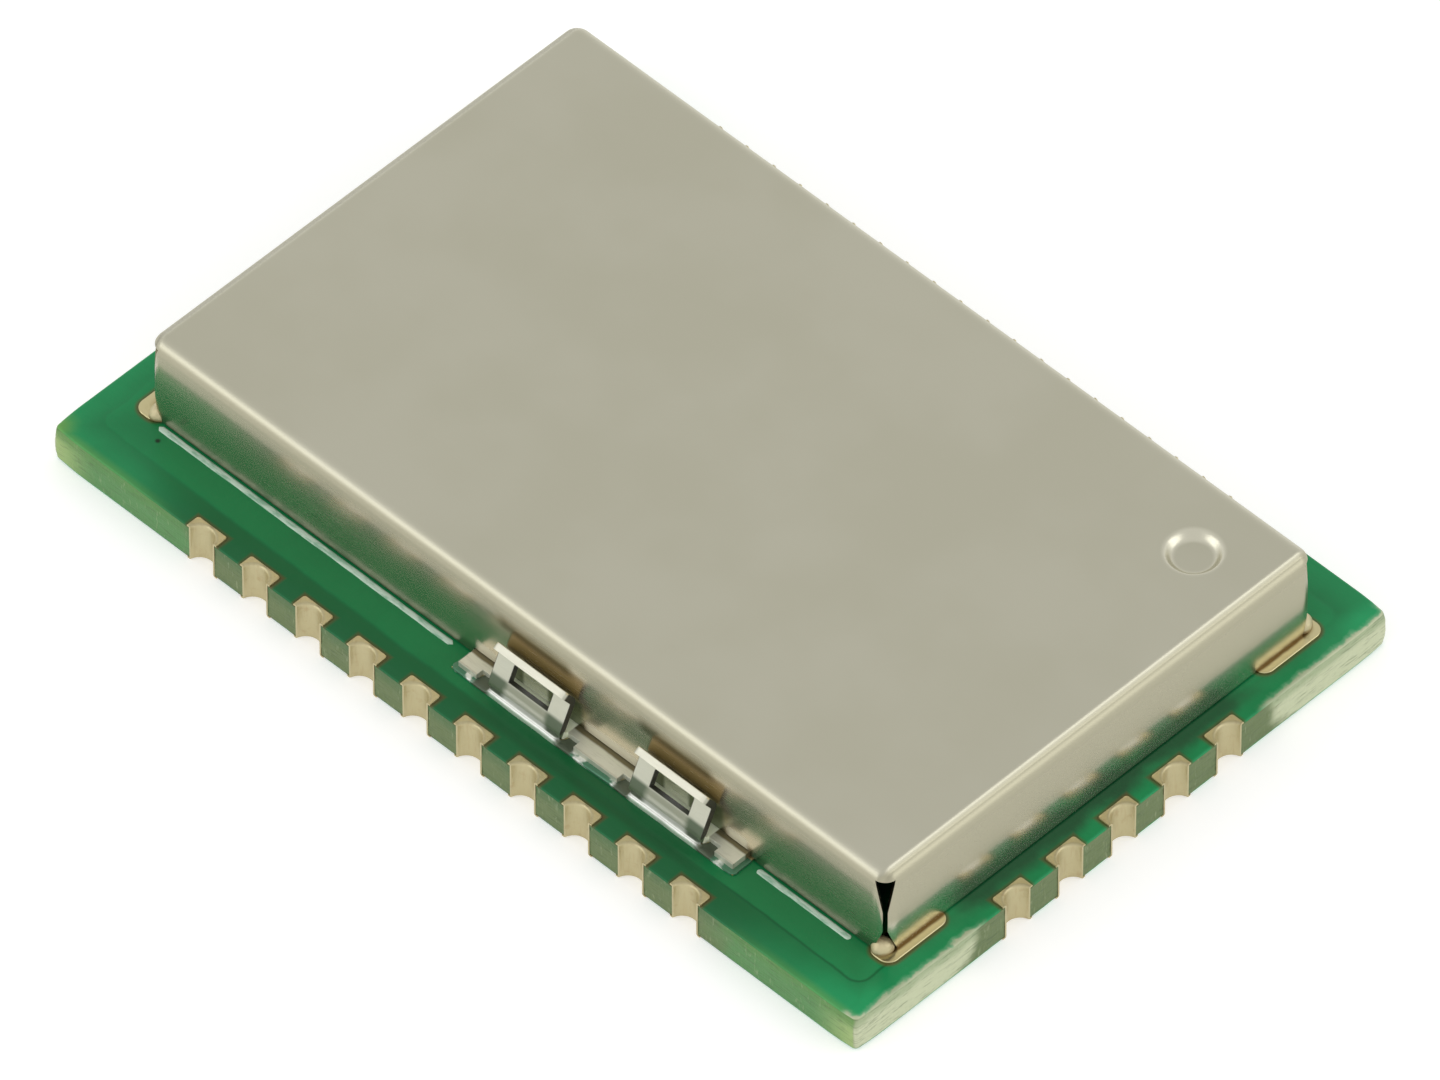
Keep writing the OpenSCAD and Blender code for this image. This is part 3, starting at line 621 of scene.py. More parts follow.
def corner_pad(centre):
    """Rounded rectangles one above the other: the corner circles shrink together over a rolled
    edge to a nearly flat top, closed by one face above and one below."""
    turn = np.linspace(0, 2 * np.pi, 65)[:-1] + np.pi / 64
    towards = circle(turn)
    straight = np.sign(towards) * (np.array([PAD_W, PAD_L]) / 2 - PAD_R)
    inset = np.concatenate([[0], PAD_ROLL * (1 - np.cos(rim_turn)), [0.09, 0.16]])
    z = np.concatenate([[board_t - SUNK], board_t + LAND_T - PAD_ROLL * (1 - np.sin(rim_turn)),
                        [land_top, land_top]])
    rows = centre + straight + (PAD_R - inset)[:, None, None] * towards
    return capped(at_heights(rows, z))


PAD_GOLD = (0.64, 0.57, 0.32)
PAD_BROWN = (0.30, 0.20, 0.07)
FLUX_AND_SHADE_LINE = (0.17, 0.105, 0.035)
FLUX_AND_SHADE_LINE_W = 0.05
pad_plating, feed, place = new_finish("pad_plating", Metallic=1.0)
x, y, z = axes(place)
rim = pad_distance(x, y)
flux = grain(place, 3.5, 4.0, 0.6)
stain = ease(rim + 0.16 * (flux - 0.5), -0.07, -0.20) * ease(flux, 0.25, 0.7)
# Partly flux, partly painted shade: a dark line where each wall stands on its pad.
wall_line = frame_distance(x, y, can_middle, can_size / 2, CAN_CORNER_R)
wall_line = ease(size_of(wall_line) + 0.05 * (flux - 0.5), 1.6 * FLUX_AND_SHADE_LINE_W, 0.4 * FLUX_AND_SHADE_LINE_W)
feed("Base Color", blend(wall_line, blend(stain * 0.5, PAD_GOLD, PAD_BROWN), FLUX_AND_SHADE_LINE))
feed("Roughness", 0.28 + 0.3 * stain)
feed("Normal", relief(flux + 0.3 * grain(place, 16.0), 0.012))
signs = np.array([(-1, -1), (-1, 1), (1, -1), (1, 1)])
pad_centres = pad_middle[:2] + pad_reach[:2] * signs
pads = mesh_piece("corner_pads", *joined([corner_pad(centre) for centre in pad_centres]), sharp=50)
pads.data.materials.append(pad_plating)
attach(pads, "root")
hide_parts("corner_ground_pads")

# Clip lands
# Plain strips of gold-plated copper, etched with the board's upper layer. The clips are soldered
# to them, and the solder hides almost all of them, so they keep their solids' shapes.
for node in ("front_clip_land", "rear_clip_land"):
    frame["nodes"][node].data.materials.clear()
    frame["nodes"][node].data.materials.append(gold_plating)

# Parts under the can
# Moulded chips, ceramic crystals and small two-ended parts, soldered to the board. The can
# hides them, so they keep their solids' shapes and get their own finishes.


def speckled(name, base, specks, spots, dull, shine, metallic=0.0):
    """A fine-grained finish: specks of a second tone, and roughness from shine to dull."""
    material, feed, place = new_finish(name, Metallic=metallic)
    spread = grain(place, spots, 4.0, 0.6)
    feed("Base Color", blend(ease(spread, 0.45, 0.7), base, specks))
    feed("Roughness", shine + (dull - shine) * spread)
    feed("Normal", relief(spread, 0.008))
    return material


INSIDE_LOOKS = {
    "chip_mould": ((0.018, 0.018, 0.020), (0.035, 0.035, 0.037), 14, 0.6, 0.4),
    "terminal_tin": ((0.68, 0.68, 0.66), (0.5, 0.5, 0.48), 9, 0.42, 0.26, 1.0),
    "crystal_ceramic": ((0.09, 0.065, 0.045), (0.14, 0.1, 0.07), 12, 0.6, 0.4),
    "crystal_lid": ((0.72, 0.62, 0.42), (0.6, 0.5, 0.33), 7, 0.38, 0.24, 1.0),
    "filter_ceramic": ((0.7, 0.7, 0.63), (0.55, 0.55, 0.48), 8, 0.5, 0.35),
    "ferrite": ((0.045, 0.042, 0.042), (0.08, 0.075, 0.07), 16, 0.65, 0.45),
    "inductor_ceramic": ((0.06, 0.11, 0.26), (0.1, 0.16, 0.33), 10, 0.45, 0.3),
    "capacitor_ceramic": ((0.30, 0.18, 0.09), (0.37, 0.24, 0.13), 12, 0.5, 0.35),
    "resistor_glaze": ((0.014, 0.014, 0.016), (0.03, 0.03, 0.032), 9, 0.4, 0.25),
}
inside_finishes = {name: speckled(name, *look) for name, look in INSIDE_LOOKS.items()}
inside_finishes["gold_plating"] = gold_plating
covered = ("controller_", "radio_", "antenna_", "reference_", "clock_", "harmonic_", "supply_",
           "matching_", "capacitor", "resistor")
for part in frame["record"]["subparts"]:
    if part["node"].startswith(covered):
        solid = frame["nodes"][part["node"]]
        solid.data.materials.clear()
        solid.data.materials.append(inside_finishes[part["material_slot"]])

# Shield clips
# One strip of tinned spring sheet per long wall, stamped with windows and folded: outer leaves
# lean in to a waist at the can's wall and flare out above it, inner leaves press on the wall from
# inside, and the strip between is soldered to its land.
CLIP_T = 0.13
CLIP_L = 6.45
CLIP_OUT = 0.4
CLIP_IN = 0.46
SHEET_T = 0.2
LEAF_W = 1.69
LEAF_SPACING = 3.31
LEAF_H = 1.09
LEAF_ROOT = 0.42
LEAF_GAP = 0.02
LEAF_BEND_R = 0.05
LEAF_CORNER_R = 0.09
LEAF_RELIEF = 0.3
WAIST_H = 0.77
WAIST_R = 0.03
FLARE_SLOPE = 0.22 / (LEAF_H - WAIST_H)
WINDOW_W = 0.9
WINDOW_FOOT = 0.40
WINDOW_TOP = 0.72
CREST_H = 0.85
LEAD_IN_H = 0.2
LEAD_IN = 0.12
STAMPED_R = 0.02
clip_x = (land_low[0] + land_high[0]) / 2
half_leaf, half_window = LEAF_W / 2, WINDOW_W / 2
waist_out = LEAF_GAP + CLIP_T / 2
root_r = LEAF_BEND_R + CLIP_T / 2
root_out = LEAF_ROOT - CLIP_T - LEAF_BEND_R
to_waist = np.array([root_out - waist_out, WAIST_H - CLIP_T - LEAF_BEND_R])
leaf_lean = np.arctan2(*to_waist) + np.arcsin(root_r / np.hypot(*to_waist))
flare = np.arctan(FLARE_SLOPE)
leaf_top = LEAF_H - CLIP_T / 2 * np.sin(flare)


def leaf_reach(height):
    """Distance of an outer leaf's middle from the wall: two straight lines that fall to the waist
    from below and from above, with a small hyperbola to join them."""
    up = height - WAIST_H
    lean_slope = np.tan(leaf_lean)
    rise = (FLARE_SLOPE + lean_slope) * np.sqrt(up ** 2 + WAIST_R ** 2)
    return waist_out + ((FLARE_SLOPE - lean_slope) * up + rise) / 2


def thick_sheet(outer, inner, quads):
    """A sheet with its thickness: the outer skin, the inner skin turned over, and a rim quad on
    each edge that belongs to one quad only."""
    count = len(outer)
    edges = np.stack([quads, np.roll(quads, -1, axis=1)], -1).reshape(-1, 2)
    once = ~np.isin(edges[:, 0] * count + edges[:, 1], edges[:, 1] * count + edges[:, 0])
    a, b = edges[once].T
    rim = np.stack([b, a, a + count, b + count], -1)
    return np.concatenate([outer, inner]), np.concatenate([quads, quads[:, ::-1] + count, rim])


def compact(points, quads):
    """Drops the points that no quad uses, and makes quads with two equal corners triangles."""
    used, index = np.unique(quads, return_inverse=True)
    quads = index.reshape(-1, 4)
    pinched = quads[:, 0] == quads[:, 1]
    return points[used], quads[~pinched].tolist() + quads[pinched][:, 1:].tolist()


def walk(corners, shares):
    """Points at shares of the way along a line through corners, by length."""
    corners = np.asarray(corners, float)
    length = np.concatenate([[0], np.cumsum(np.hypot(*np.diff(corners, axis=0).T))])
    return np.stack([np.interp(shares * length[-1], length, c) for c in corners.T], -1)


def sheet_sides(path):
    """The two faces of a sheet that follows a path: half its thickness to either side, square to
    the path's direction at each point."""
    along = np.gradient(path, axis=0)
    along /= np.hypot(*along.T)[:, None]
    side = np.stack([-along[:, 1], along[:, 0]], -1) * CLIP_T / 2
    return path + side, path - side


def shield_clip():
    """One grid for the whole clip. Rows run from an outer leaf's flared top, in to its waist, down
    round its bend, in under the wall, and up an inner leaf; at a tab's columns the same rows lie
    flat. Cells in the windows and in the cuts beside the leaves are left out."""
    middle = CLIP_T / 2
    outer_root = np.array([-root_out, CLIP_T + LEAF_BEND_R])
    inner_root = np.array([SHEET_T + CLIP_IN - root_r - middle, CLIP_T + LEAF_BEND_R])
    bend = outer_root + root_r * circle(np.linspace(-np.pi - leaf_lean, -np.pi / 2, 11))
    levels = np.concatenate([np.linspace(leaf_top, WINDOW_TOP, 15),
                             np.linspace(WINDOW_TOP, WINDOW_FOOT, 11)[1:]])
    leaf = np.concatenate([np.stack([-leaf_reach(levels), levels], -1), bend])
    inner_bend = inner_root + root_r * circle(np.linspace(-np.pi / 2, 0, 9))
    crest = np.array([SHEET_T + LEAF_GAP + middle, CREST_H])
    lead = walk([inner_bend[-1], crest, crest + (LEAD_IN, LEAD_IN_H)], np.linspace(0, 1, 12)[1:])
    press = np.concatenate([inner_bend, lead])
    strip = np.stack([np.linspace(outer_root[0], inner_root[0], 5)[1:-1], np.full(3, middle)], -1)
    bent = np.concatenate([leaf, strip, press])
    flat_y = np.concatenate([np.linspace(-CLIP_OUT, outer_root[0], len(leaf)), strip[:, 0],
                             np.linspace(inner_root[0], SHEET_T + CLIP_IN, len(press))])
    flat = np.stack([flat_y, np.full(len(flat_y), middle)], -1)

    cut = half_leaf + LEAF_RELIEF
    across = np.concatenate([np.linspace(-half_leaf, -half_window, 7),
                             np.linspace(-half_window, half_window, 9)[1:-1],
                             np.linspace(half_window, half_leaf, 7)])
    tab = np.linspace(cut - LEAF_SPACING / 2, LEAF_SPACING / 2 - cut, 13)
    end_tab = np.linspace(LEAF_SPACING / 2 + cut, CLIP_L / 2, 7)
    columns = [(-end_tab[::-1], flat), (across - LEAF_SPACING / 2, bent), (tab, flat),
               (across + LEAF_SPACING / 2, bent), (end_tab, flat)]
    faces_of = [[np.broadcast_to(side[:, None], (len(bent), len(x), 2)) for x, path in columns
                 for side in [sheet_sides(path)[which]]] for which in (0, 1)]
    x = np.concatenate([c for c, _ in columns])
    centre = np.concatenate([np.full(len(c), m) for (c, _), m in zip(
        columns, (0, -LEAF_SPACING / 2, 0, LEAF_SPACING / 2, 0))])
    is_leaf = np.concatenate([np.full(len(c), path is bent) for c, path in columns])

    skins = []
    for skin in faces_of:
        yz = np.concatenate(skin, axis=1)
        over = np.clip((bent[:, 1:] - (leaf_top - LEAF_CORNER_R)) / LEAF_CORNER_R, 0, 1)
        pinch = LEAF_CORNER_R * (1 - np.sqrt(1 - over ** 2))
        row = np.arange(len(bent))[:, None]
        pinch = np.where(is_leaf[None] & (row < len(leaf)), pinch, 0)
        narrow = 1 - pinch / half_leaf
        skins.append(np.concatenate([(centre + (x - centre) * narrow)[..., None], yz], -1))
    rows, cols = skins[0].shape[:2]
    quads = grid_quads(rows, cols)
    row, col = np.divmod(np.arange(len(quads)), cols - 1)
    beyond = (row < len(leaf) - 1) | (row >= len(leaf) + len(strip))
    edges = np.cumsum([len(c) for c, _ in columns])[:-1] - 1
    in_cut = np.isin(col, edges) & beyond
    middle_x = np.abs((x - centre)[:-1] + (x - centre)[1:])[col] / 2
    top_row = np.flatnonzero(levels == WINDOW_TOP)[0]
    in_window = is_leaf[col] & (middle_x < half_window) & (row >= top_row) & (row < len(levels) - 1)
    quads = quads[~(in_cut | in_window)]
    return compact(*thick_sheet(skins[0].reshape(-1, 3), skins[1].reshape(-1, 3), quads))


def at_clip(points, side):
    """A clip's points moved to its wall: the wall's outer face is y = 0 and the land z = 0."""
    wall = can_low[1] if side < 0 else can_high[1]
    return points * (-side, -side, 1) + (clip_x, wall, land_top)


CLIP_TIN = (0.565, 0.57, 0.465)
CLIP_SHADE = (0.49, 0.495, 0.40)
CLIP_WARM = (0.72, 0.735, 0.62)
CLIP_FLUX_AND_SHADE = (0.190, 0.165, 0.090)
CLIP_TOP_HIGHLIGHT = (0.82, 0.81, 0.68)
CLIP_SLOPE = (0.50, 0.51, 0.42)
CLIP_SHADOW = (0.310, 0.325, 0.245)
CLIP_BACK_SHADE = (0.36, 0.33, 0.165)
CLIP_BACK_SHADE_TOP = (0.56, 0.50, 0.295)
CLIP_INSIDE_LIT = (0.90, 0.95, 0.76)
CLIP_UNDER_LEG_SHADE = (0.090, 0.125, 0.070)
CLIP_SIDE_SHADE = (0.035, 0.035, 0.025)
clip_tin, feed, place = new_finish("clip_tin")
x, y, z = axes(place)
drawn = grain(stretched(place, 1.0, 6.0, 6.0), 4.0, 4.0, 0.6)
mottle = grain(place, 4.0, 3.0)
above_land = z - land_top
from_wall = size_of(y - can_middle[1]) - can_size[1] / 2
at_leaf = size_of(size_of(x - clip_x) - LEAF_SPACING / 2)
on_strip = ease(above_land, CLIP_T + 0.06, CLIP_T)
colour = blend(on_strip * ease(from_wall, CLIP_OUT - 0.01, CLIP_OUT - 0.05), CLIP_TIN, CLIP_WARM)
colour = blend(ease(drawn, 0.5, 0.75) * 0.4, colour, CLIP_SHADE)
# A brown band on the strip along the wall's foot: flux, darkened by painted shade in the crease
# under the wall.
colour = blend(on_strip * ease(from_wall + 0.03 * (mottle - 0.5), 0.12, 0.07), colour, CLIP_FLUX_AND_SHADE)
up = above_land - WAIST_H
leaf_middle = larger(up * FLARE_SLOPE, up * -np.tan(leaf_lean)) + waist_out
on_leaf = ease(at_leaf, half_leaf + 0.03, half_leaf)
along_flare = from_wall * np.sin(flare) + up * np.cos(flare)
END_FACE = leaf_reach(leaf_top) * np.sin(flare) + (leaf_top - WAIST_H) * np.cos(flare)
# Painted highlight: the flare's top edge is painted near white.
end_face = ease(along_flare, END_FACE - 0.03, END_FACE - 0.012)
colour = blend(end_face, colour, CLIP_TOP_HIGHLIGHT)
# Painted shade on the leaf's foot below the window: darker just under the window's sill and dark
# green under the legs.
low = on_leaf * ease(from_wall, root_out, root_out + 0.03)
low = low * ease(above_land, WINDOW_FOOT + 0.05, WINDOW_FOOT - 0.03)
under_leg = ease(at_leaf + 0.1 * (mottle - 0.5), half_window - 0.06, half_window + 0.10)
apron = blend(ease(above_land, 0.26, 0.32), CLIP_SLOPE, CLIP_SHADOW)
colour = blend(low, colour, blend(under_leg, apron, CLIP_UNDER_LEG_SHADE))
# The leaf's back, facing the wall: painted shade in brown, lighter towards the top, and painted
# light near white below the waist.
behind = ease(leaf_middle - from_wall, 0.03, 0.06) * ease(from_wall, -0.1, -0.02) * on_leaf
behind = behind * (1 - end_face)
back = blend(ease(up, 0.08, 0.26), CLIP_BACK_SHADE, CLIP_BACK_SHADE_TOP)
colour = blend(behind, colour, blend(ease(up, -0.05, -0.12), back, CLIP_INSIDE_LIT))
along_lean = up * np.cos(leaf_lean) - (from_wall - waist_out) * np.sin(leaf_lean)
SILL = (WINDOW_FOOT - WAIST_H) / np.cos(leaf_lean)
# Painted shade: the window's jambs and the leaf's side edges are near black.
jamb = ease(at_leaf, half_window + 0.02, half_window + 0.005)
jamb = jamb * ease(along_lean, SILL - 0.02, SILL - 0.006)
jamb = jamb * ease(above_land, WINDOW_TOP + 0.03, WINDOW_TOP) * (1 - on_strip)
leaf_side = ease(at_leaf, half_leaf - 0.014, half_leaf - 0.004) * on_leaf
leaf_side = leaf_side * ease(above_land, 0.16, 0.22)
dark = larger(jamb, leaf_side)
feed("Base Color", blend(dark, colour, CLIP_SIDE_SHADE))
feed("Metallic", 0.5 * (1 - larger(larger(behind, dark), low * under_leg)))
feed("Roughness", 0.34 + 0.16 * mottle)
feed("Normal", relief(0.6 * drawn + 0.4 * mottle, 0.008))
for name, node, side in (("front_spring_clip", "front_shield_clip", -1),
                         ("rear_spring_clip", "rear_shield_clip", 1)):
    points, faces = shield_clip()
    clip = mesh_piece(name, at_clip(points, side), faces, sharp=40)
    clip.data.materials.append(clip_tin)
    softened = clip.modifiers.new("stamped_edge", "BEVEL")
    softened.width = STAMPED_R * MM
    softened.segments = 3
    softened.limit_method = "ANGLE"
    softened.angle_limit = np.radians(50)
    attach(clip, "root")
    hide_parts(node)

# Clip solder
# Reflowed solder that has drawn up against the outer leaves in hollow fillets and stands as a
# low bead along the tabs' edges.
SOLDER_OUT = 0.08
LEAF_FILLET_H = 0.23
TAB_BEAD_H = 0.02
LIP_H = 0.075
LIP_SHARE = 0.4
SOLDER_LIFT = 0.004
RIPPLE_H = 0.03
FOOT_WAVER = 0.012
LEAF_BLEND = 0.1
CUT_BLEND = 0.05


def solder_fillet():
    """A section carried round the clip's three outer sides. Its foot keeps to the land's edge;
    its head lies on a leaf's face or a tab's edge, with a hollow slope between them."""
    half = CLIP_L / 2
    run = np.linspace(-half, half, 221)
    turn = np.linspace(0, 1, 9)[1:] * np.pi / 2
    back = np.linspace(-CLIP_OUT + 0.02, -LEAF_GAP - 0.02, 8)[1:]
    from_leaf = np.abs(np.abs(run) - LEAF_SPACING / 2) - half_leaf
    leaf = np.clip(-from_leaf / LEAF_BLEND, 0, 1)
    leaf = leaf * leaf * (3 - 2 * leaf)
    cut = np.clip(np.minimum(from_leaf, LEAF_RELIEF - from_leaf) / CUT_BLEND, 0, 1)
    head_y = -CLIP_OUT + 0.01 + leaf * (CLIP_OUT - LEAF_ROOT + 0.002) + cut * (CLIP_OUT - root_out)
    ripple = soft_noise(21, run * 4)
    height = TAB_BEAD_H + leaf * (LEAF_FILLET_H - TAB_BEAD_H) + RIPPLE_H * (ripple - 0.5)
    foot_y = -CLIP_OUT - SOLDER_OUT - FOOT_WAVER * (1 + soft_noise(22, run * 5))
    head = np.stack([run, head_y], -1)
    foot = np.stack([run, foot_y], -1)
    reach = foot_y[-1] - head_y[-1]
    corner_foot = head[-1] + reach * circle(turn + np.pi / 2)
    corner_head = np.broadcast_to(head[-1], corner_foot.shape)
    end_head = np.stack([np.full_like(back, half), back], -1)
    end_foot = end_head - (reach * 0.9, 0)
    right_head = np.concatenate([corner_head, end_head])
    right_foot = np.concatenate([corner_foot, end_foot])
    mirror = np.array([-1, 1])
    heads = np.concatenate([right_head[::-1] * mirror, head, right_head])
    feet = np.concatenate([right_foot[::-1] * mirror, foot, right_foot])
    end_height = np.full(len(right_head), height[-1])
    heights = np.concatenate([end_height, height, end_height])
    turn = np.linspace(0, 1, 8) * np.pi / 2
    down = np.concatenate([np.linspace(0, 1 - LIP_SHARE, 12)[:-1],
                           1 - LIP_SHARE * (1 - np.sin(turn))])
    hollow = np.clip(1 - down / (1 - LIP_SHARE), 0, 1) ** 2.4
    lip = np.concatenate([np.ones(11), np.cos(turn)])
    plan = heads[:, None] + down[None, :, None] * (feet - heads)[:, None]
    low = np.minimum(LIP_H, 0.9 * heights)[:, None]
    z = (low + (heights[:, None] - low) * hollow[None]) * lip[None] + SOLDER_LIFT
    top = np.concatenate([plan, z[..., None]], -1)
    base = np.broadcast_to(np.array([[SUNK - LAND_T], [0.0]]), (len(plan), 2, 1))
    under = np.concatenate([plan[:, [-1, 0]], base], -1)
    return capped(np.concatenate([top, under], axis=1), flip=True)


SOLDER_HIGHLIGHT = (0.88, 0.90, 0.85)
SOLDER_LIP_BOARD_REFLECTION = (0.66, 0.79, 0.65)
SOLDER_GREY = (0.60, 0.61, 0.56)
SOLDER_SHADE = (0.100, 0.125, 0.085)
SOLDER_BOARD_REFLECTION = (0.085, 0.230, 0.140)
bright_solder, feed, place = new_finish("bright_solder", Metallic=0.5)
flow = grain(stretched(place, 1.0, 1.0, 2.0), 3.0, 4.0, 0.55)
x, y, z = axes(place)
from_leaf = size_of(size_of(x - clip_x) - LEAF_SPACING / 2)
above_lip = z - (land_top + LIP_H)
on_slope = ease(above_lip, SOLDER_LIFT, 0.03)
# Painted highlight: the lip's crest is near white; lower down the lip takes a painted green
# reflection of the board.
lip = blend(ease(above_lip, -0.01, -0.04), SOLDER_HIGHLIGHT, SOLDER_LIP_BOARD_REFLECTION)
colour = blend(larger(on_slope, ease(flow, 0.5, 0.8) * 0.5), lip, SOLDER_GREY)
# Painted shade: the slope darkens under the leaf's legs and in the cuts beside them.
colour = blend(on_slope * ease(from_leaf, 0.42, 0.58), colour, SOLDER_SHADE)
at_cut = ease(from_leaf, half_leaf - 0.14, half_leaf + 0.02)
colour = blend(at_cut, colour, SOLDER_SHADE)
# On the tabs' beads: painted green reflection of the board, with patches of painted highlight.
at_tab = ease(from_leaf, half_leaf + LEAF_RELIEF - 0.05, half_leaf + LEAF_RELIEF + 0.05)
colour = blend(at_tab, colour, blend(ease(flow, 0.52, 0.66), SOLDER_BOARD_REFLECTION, SOLDER_HIGHLIGHT))
feed("Base Color", colour)
feed("Roughness", 0.30 + 0.2 * flow)
feed("Normal", relief(flow + 0.2 * grain(place, 20.0, 2.0), 0.015))
for name, node, side in (("front_solder_fillet", "front_clip_solder", -1),
                         ("rear_solder_fillet", "rear_clip_solder", 1)):
    points, faces = solder_fillet()
    fillet = mesh_piece(name, at_clip(points, side), faces, sharp=50)
    fillet.data.materials.append(bright_solder)
    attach(fillet, "root")
    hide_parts(node)

# Shield can
# One blank of tinned sheet, 0.2 mm thick, folded down on four sides. The walls stay apart at the
# upright corners, with a wedge of relief under each bend, and a round dimple is pressed into the
# top. The can is pushed down into the clips and stands on the corner pads.
BEND_R = 0.3
SLIT_W = 0.085
RELIEF_W = 0.34
RELIEF_H = 0.75
FOOT_GAP_W = 0.42
FOOT_GAP_H = 0.5
NOTCH_GAP = 0.02
DIMPLE_R = 0.54
DIMPLE_DEPTH = 0.15
DIMPLE_RIM = 0.2
DIMPLE_INSET = 1.45
can_h = can_size[2]
RELIEF_TOP = can_h - SHEET_T
END_ZONE = 0.75
CLOSE = 1e-6


def slit_half(z):
    """Half the slit's width, square to the corner's diagonal: a wedge under the bend, a narrow
    slit below it, and walls cut back towards the foot."""
    return np.interp(z, [0, FOOT_GAP_H, RELIEF_TOP - RELIEF_H, RELIEF_TOP],
                     [FOOT_GAP_W / 2, SLIT_W / 2, SLIT_W / 2, RELIEF_W / 2])


def wall_panel(quarter, depth):
    """One wall with its bend and its share of the top, as a grid of points: columns run along the
    wall, rows from the dimple's middle out over the bend and down to the foot. Depth is how far
    the skin lies inside the sheet's outer face."""
    half, out = (can_size[0] / 2, can_size[1] / 2)[::1 if quarter % 2 == 0 else -1]
    bend = np.linspace(0, np.pi / 2, 13)
    fold = np.arccos((RELIEF_TOP - can_h + BEND_R) / BEND_R)
    bend = np.sort(np.append(bend, fold))
    level = np.concatenate([np.linspace(can_h - BEND_R, RELIEF_TOP - RELIEF_H, 9)[1:],
                            np.linspace(RELIEF_TOP - RELIEF_H, FOOT_GAP_H, 4)[1:],
                            np.linspace(FOOT_GAP_H, CLIP_T + NOTCH_GAP, 9)[1:],
                            np.linspace(CLIP_T + NOTCH_GAP, 0, 4)[1:]])
    outward = np.concatenate([out - BEND_R + (BEND_R - depth) * np.sin(bend),
                              np.full(len(level), out - depth)])
    z = np.concatenate([can_h - BEND_R + (BEND_R - depth) * np.cos(bend), level])
    outer_z = np.concatenate([can_h - BEND_R + BEND_R * np.cos(bend), level])
    round_r = CAN_CORNER_R * np.concatenate([np.sin(bend), np.ones(len(level))])
    round_r = np.maximum(round_r - depth, 0)
    reach = half - out + outward
    whole = outer_z > RELIEF_TOP - CLOSE
    gap = np.where(whole, RELIEF_W / 2, slit_half(outer_z))
    middle = round_r * np.sin(np.pi / 4)
    divisor = np.maximum(round_r, CLOSE)
    on_arc = round_r * (np.pi / 4 - np.arcsin(np.clip(gap / divisor, 0, 1)))
    stop = np.where(gap < middle, on_arc, -(gap - middle) * np.sqrt(2))
    start = half - END_ZONE
    flat = reach - round_r
    main = flat + stop - start
    rest = round_r * np.pi / 4 - stop
    share = 1 - np.linspace(1, 0, 15)[1:] ** 1.7
    extra = np.linspace(0, 1, 9)[1:]
    beyond = np.concatenate([main[:, None] * share, main[:, None] + rest[:, None] * extra], axis=1)
    past = start + beyond - flat[:, None]
    swing = np.where(past > 0, past / divisor[:, None], 0)
    end_x = np.where(past > 0, flat[:, None] + round_r[:, None] * np.sin(swing), start + beyond)
    end_y = outward[:, None] - round_r[:, None] * (1 - np.cos(swing))
    notch = np.array([-1, 1]) * (CLIP_L / 2 + NOTCH_GAP)
    notch = notch + (clip_x - can_middle[0]) * (1, -1)[quarter // 2 % 2]
    inner = np.linspace(-start, start, 41)
    if quarter % 2 == 0:
        inner = np.sort(np.concatenate([inner[np.abs(inner[:, None] - notch).min(1) > 0.1], notch]))
    inner_x, inner_y = np.broadcast_arrays(inner[None], outward[:, None])
    x = np.concatenate([-end_x[:, ::-1], inner_x, end_x], axis=1)
    y = np.concatenate([end_y[:, ::-1], inner_y, end_y], axis=1)

    ahead, inside = edge_axes(quarter)
    wall = x[..., None] * ahead - y[..., None] * inside
    dimple = can_size[:2] / 2 - DIMPLE_INSET
    spoke = wall[0] - dimple
    length = np.hypot(*spoke.T)[:, None]
    slope = DIMPLE_R - DIMPLE_RIM * np.linspace(1, 0, 13)
    rings = np.concatenate([[0, 0.12, 0.24], slope])
    drop = -DIMPLE_DEPTH * (1 + np.cos(np.pi * np.clip((rings - slope[0]) / DIMPLE_RIM, 0, 1))) / 2
    disc = dimple + rings[:, None, None] * (spoke / length)[None]
    away = np.linspace(0, 1, 8)[1:-1, None, None]
    plate = dimple + (DIMPLE_R + away * (length - DIMPLE_R)) * (spoke / length)[None]
    rows = np.concatenate([disc, plate, wall])
    height = np.concatenate([can_h - depth + drop, np.full(len(plate), can_h - depth), z])
    points = at_heights(rows, height)

    quads = grid_quads(*points.shape[:2])
    row, col = np.divmod(np.arange(len(quads)), points.shape[1] - 1)
    below = row >= len(disc) + len(plate) + np.flatnonzero(whole)[-1]
    slit = below & ((col < len(extra)) | (col >= points.shape[1] - 1 - len(extra)))
    foot = outer_z[np.clip(row - len(disc) - len(plate), 0, None)] <= CLIP_T + NOTCH_GAP + CLOSE
    between = (x[0][col] + x[0][col + 1]) / 2
    notched = foot & (row >= len(disc) + len(plate)) & (between > notch[0]) & (between < notch[1])
    notched = notched & (quarter % 2 == 0)
    return points.reshape(-1, 3) + (*can_middle[:2], can_low[2]), quads[~(slit | notched)]


def folded_can():
    """Four panels welded where their points meet, with an outer and an inner skin."""
    outer, inner, quads, start = [], [], [], 0
    for quarter in range(4):
        skin, cells = wall_panel(quarter, 0.0)
        outer.append(skin)
        inner.append(wall_panel(quarter, SHEET_T)[0])
        quads.append(cells + start)
        start += len(skin)
    outer, inner, quads = np.concatenate(outer), np.concatenate(inner), np.concatenate(quads)
    both = np.round(np.concatenate([outer, inner], axis=1), 5)
    kept, index = np.unique(both, axis=0, return_index=True, return_inverse=True)[1:]
    quads = index.ravel()[quads][:, ::-1]
    quads = np.roll(quads, 2, axis=1)
    return compact(*thick_sheet(outer[kept], inner[kept], quads))


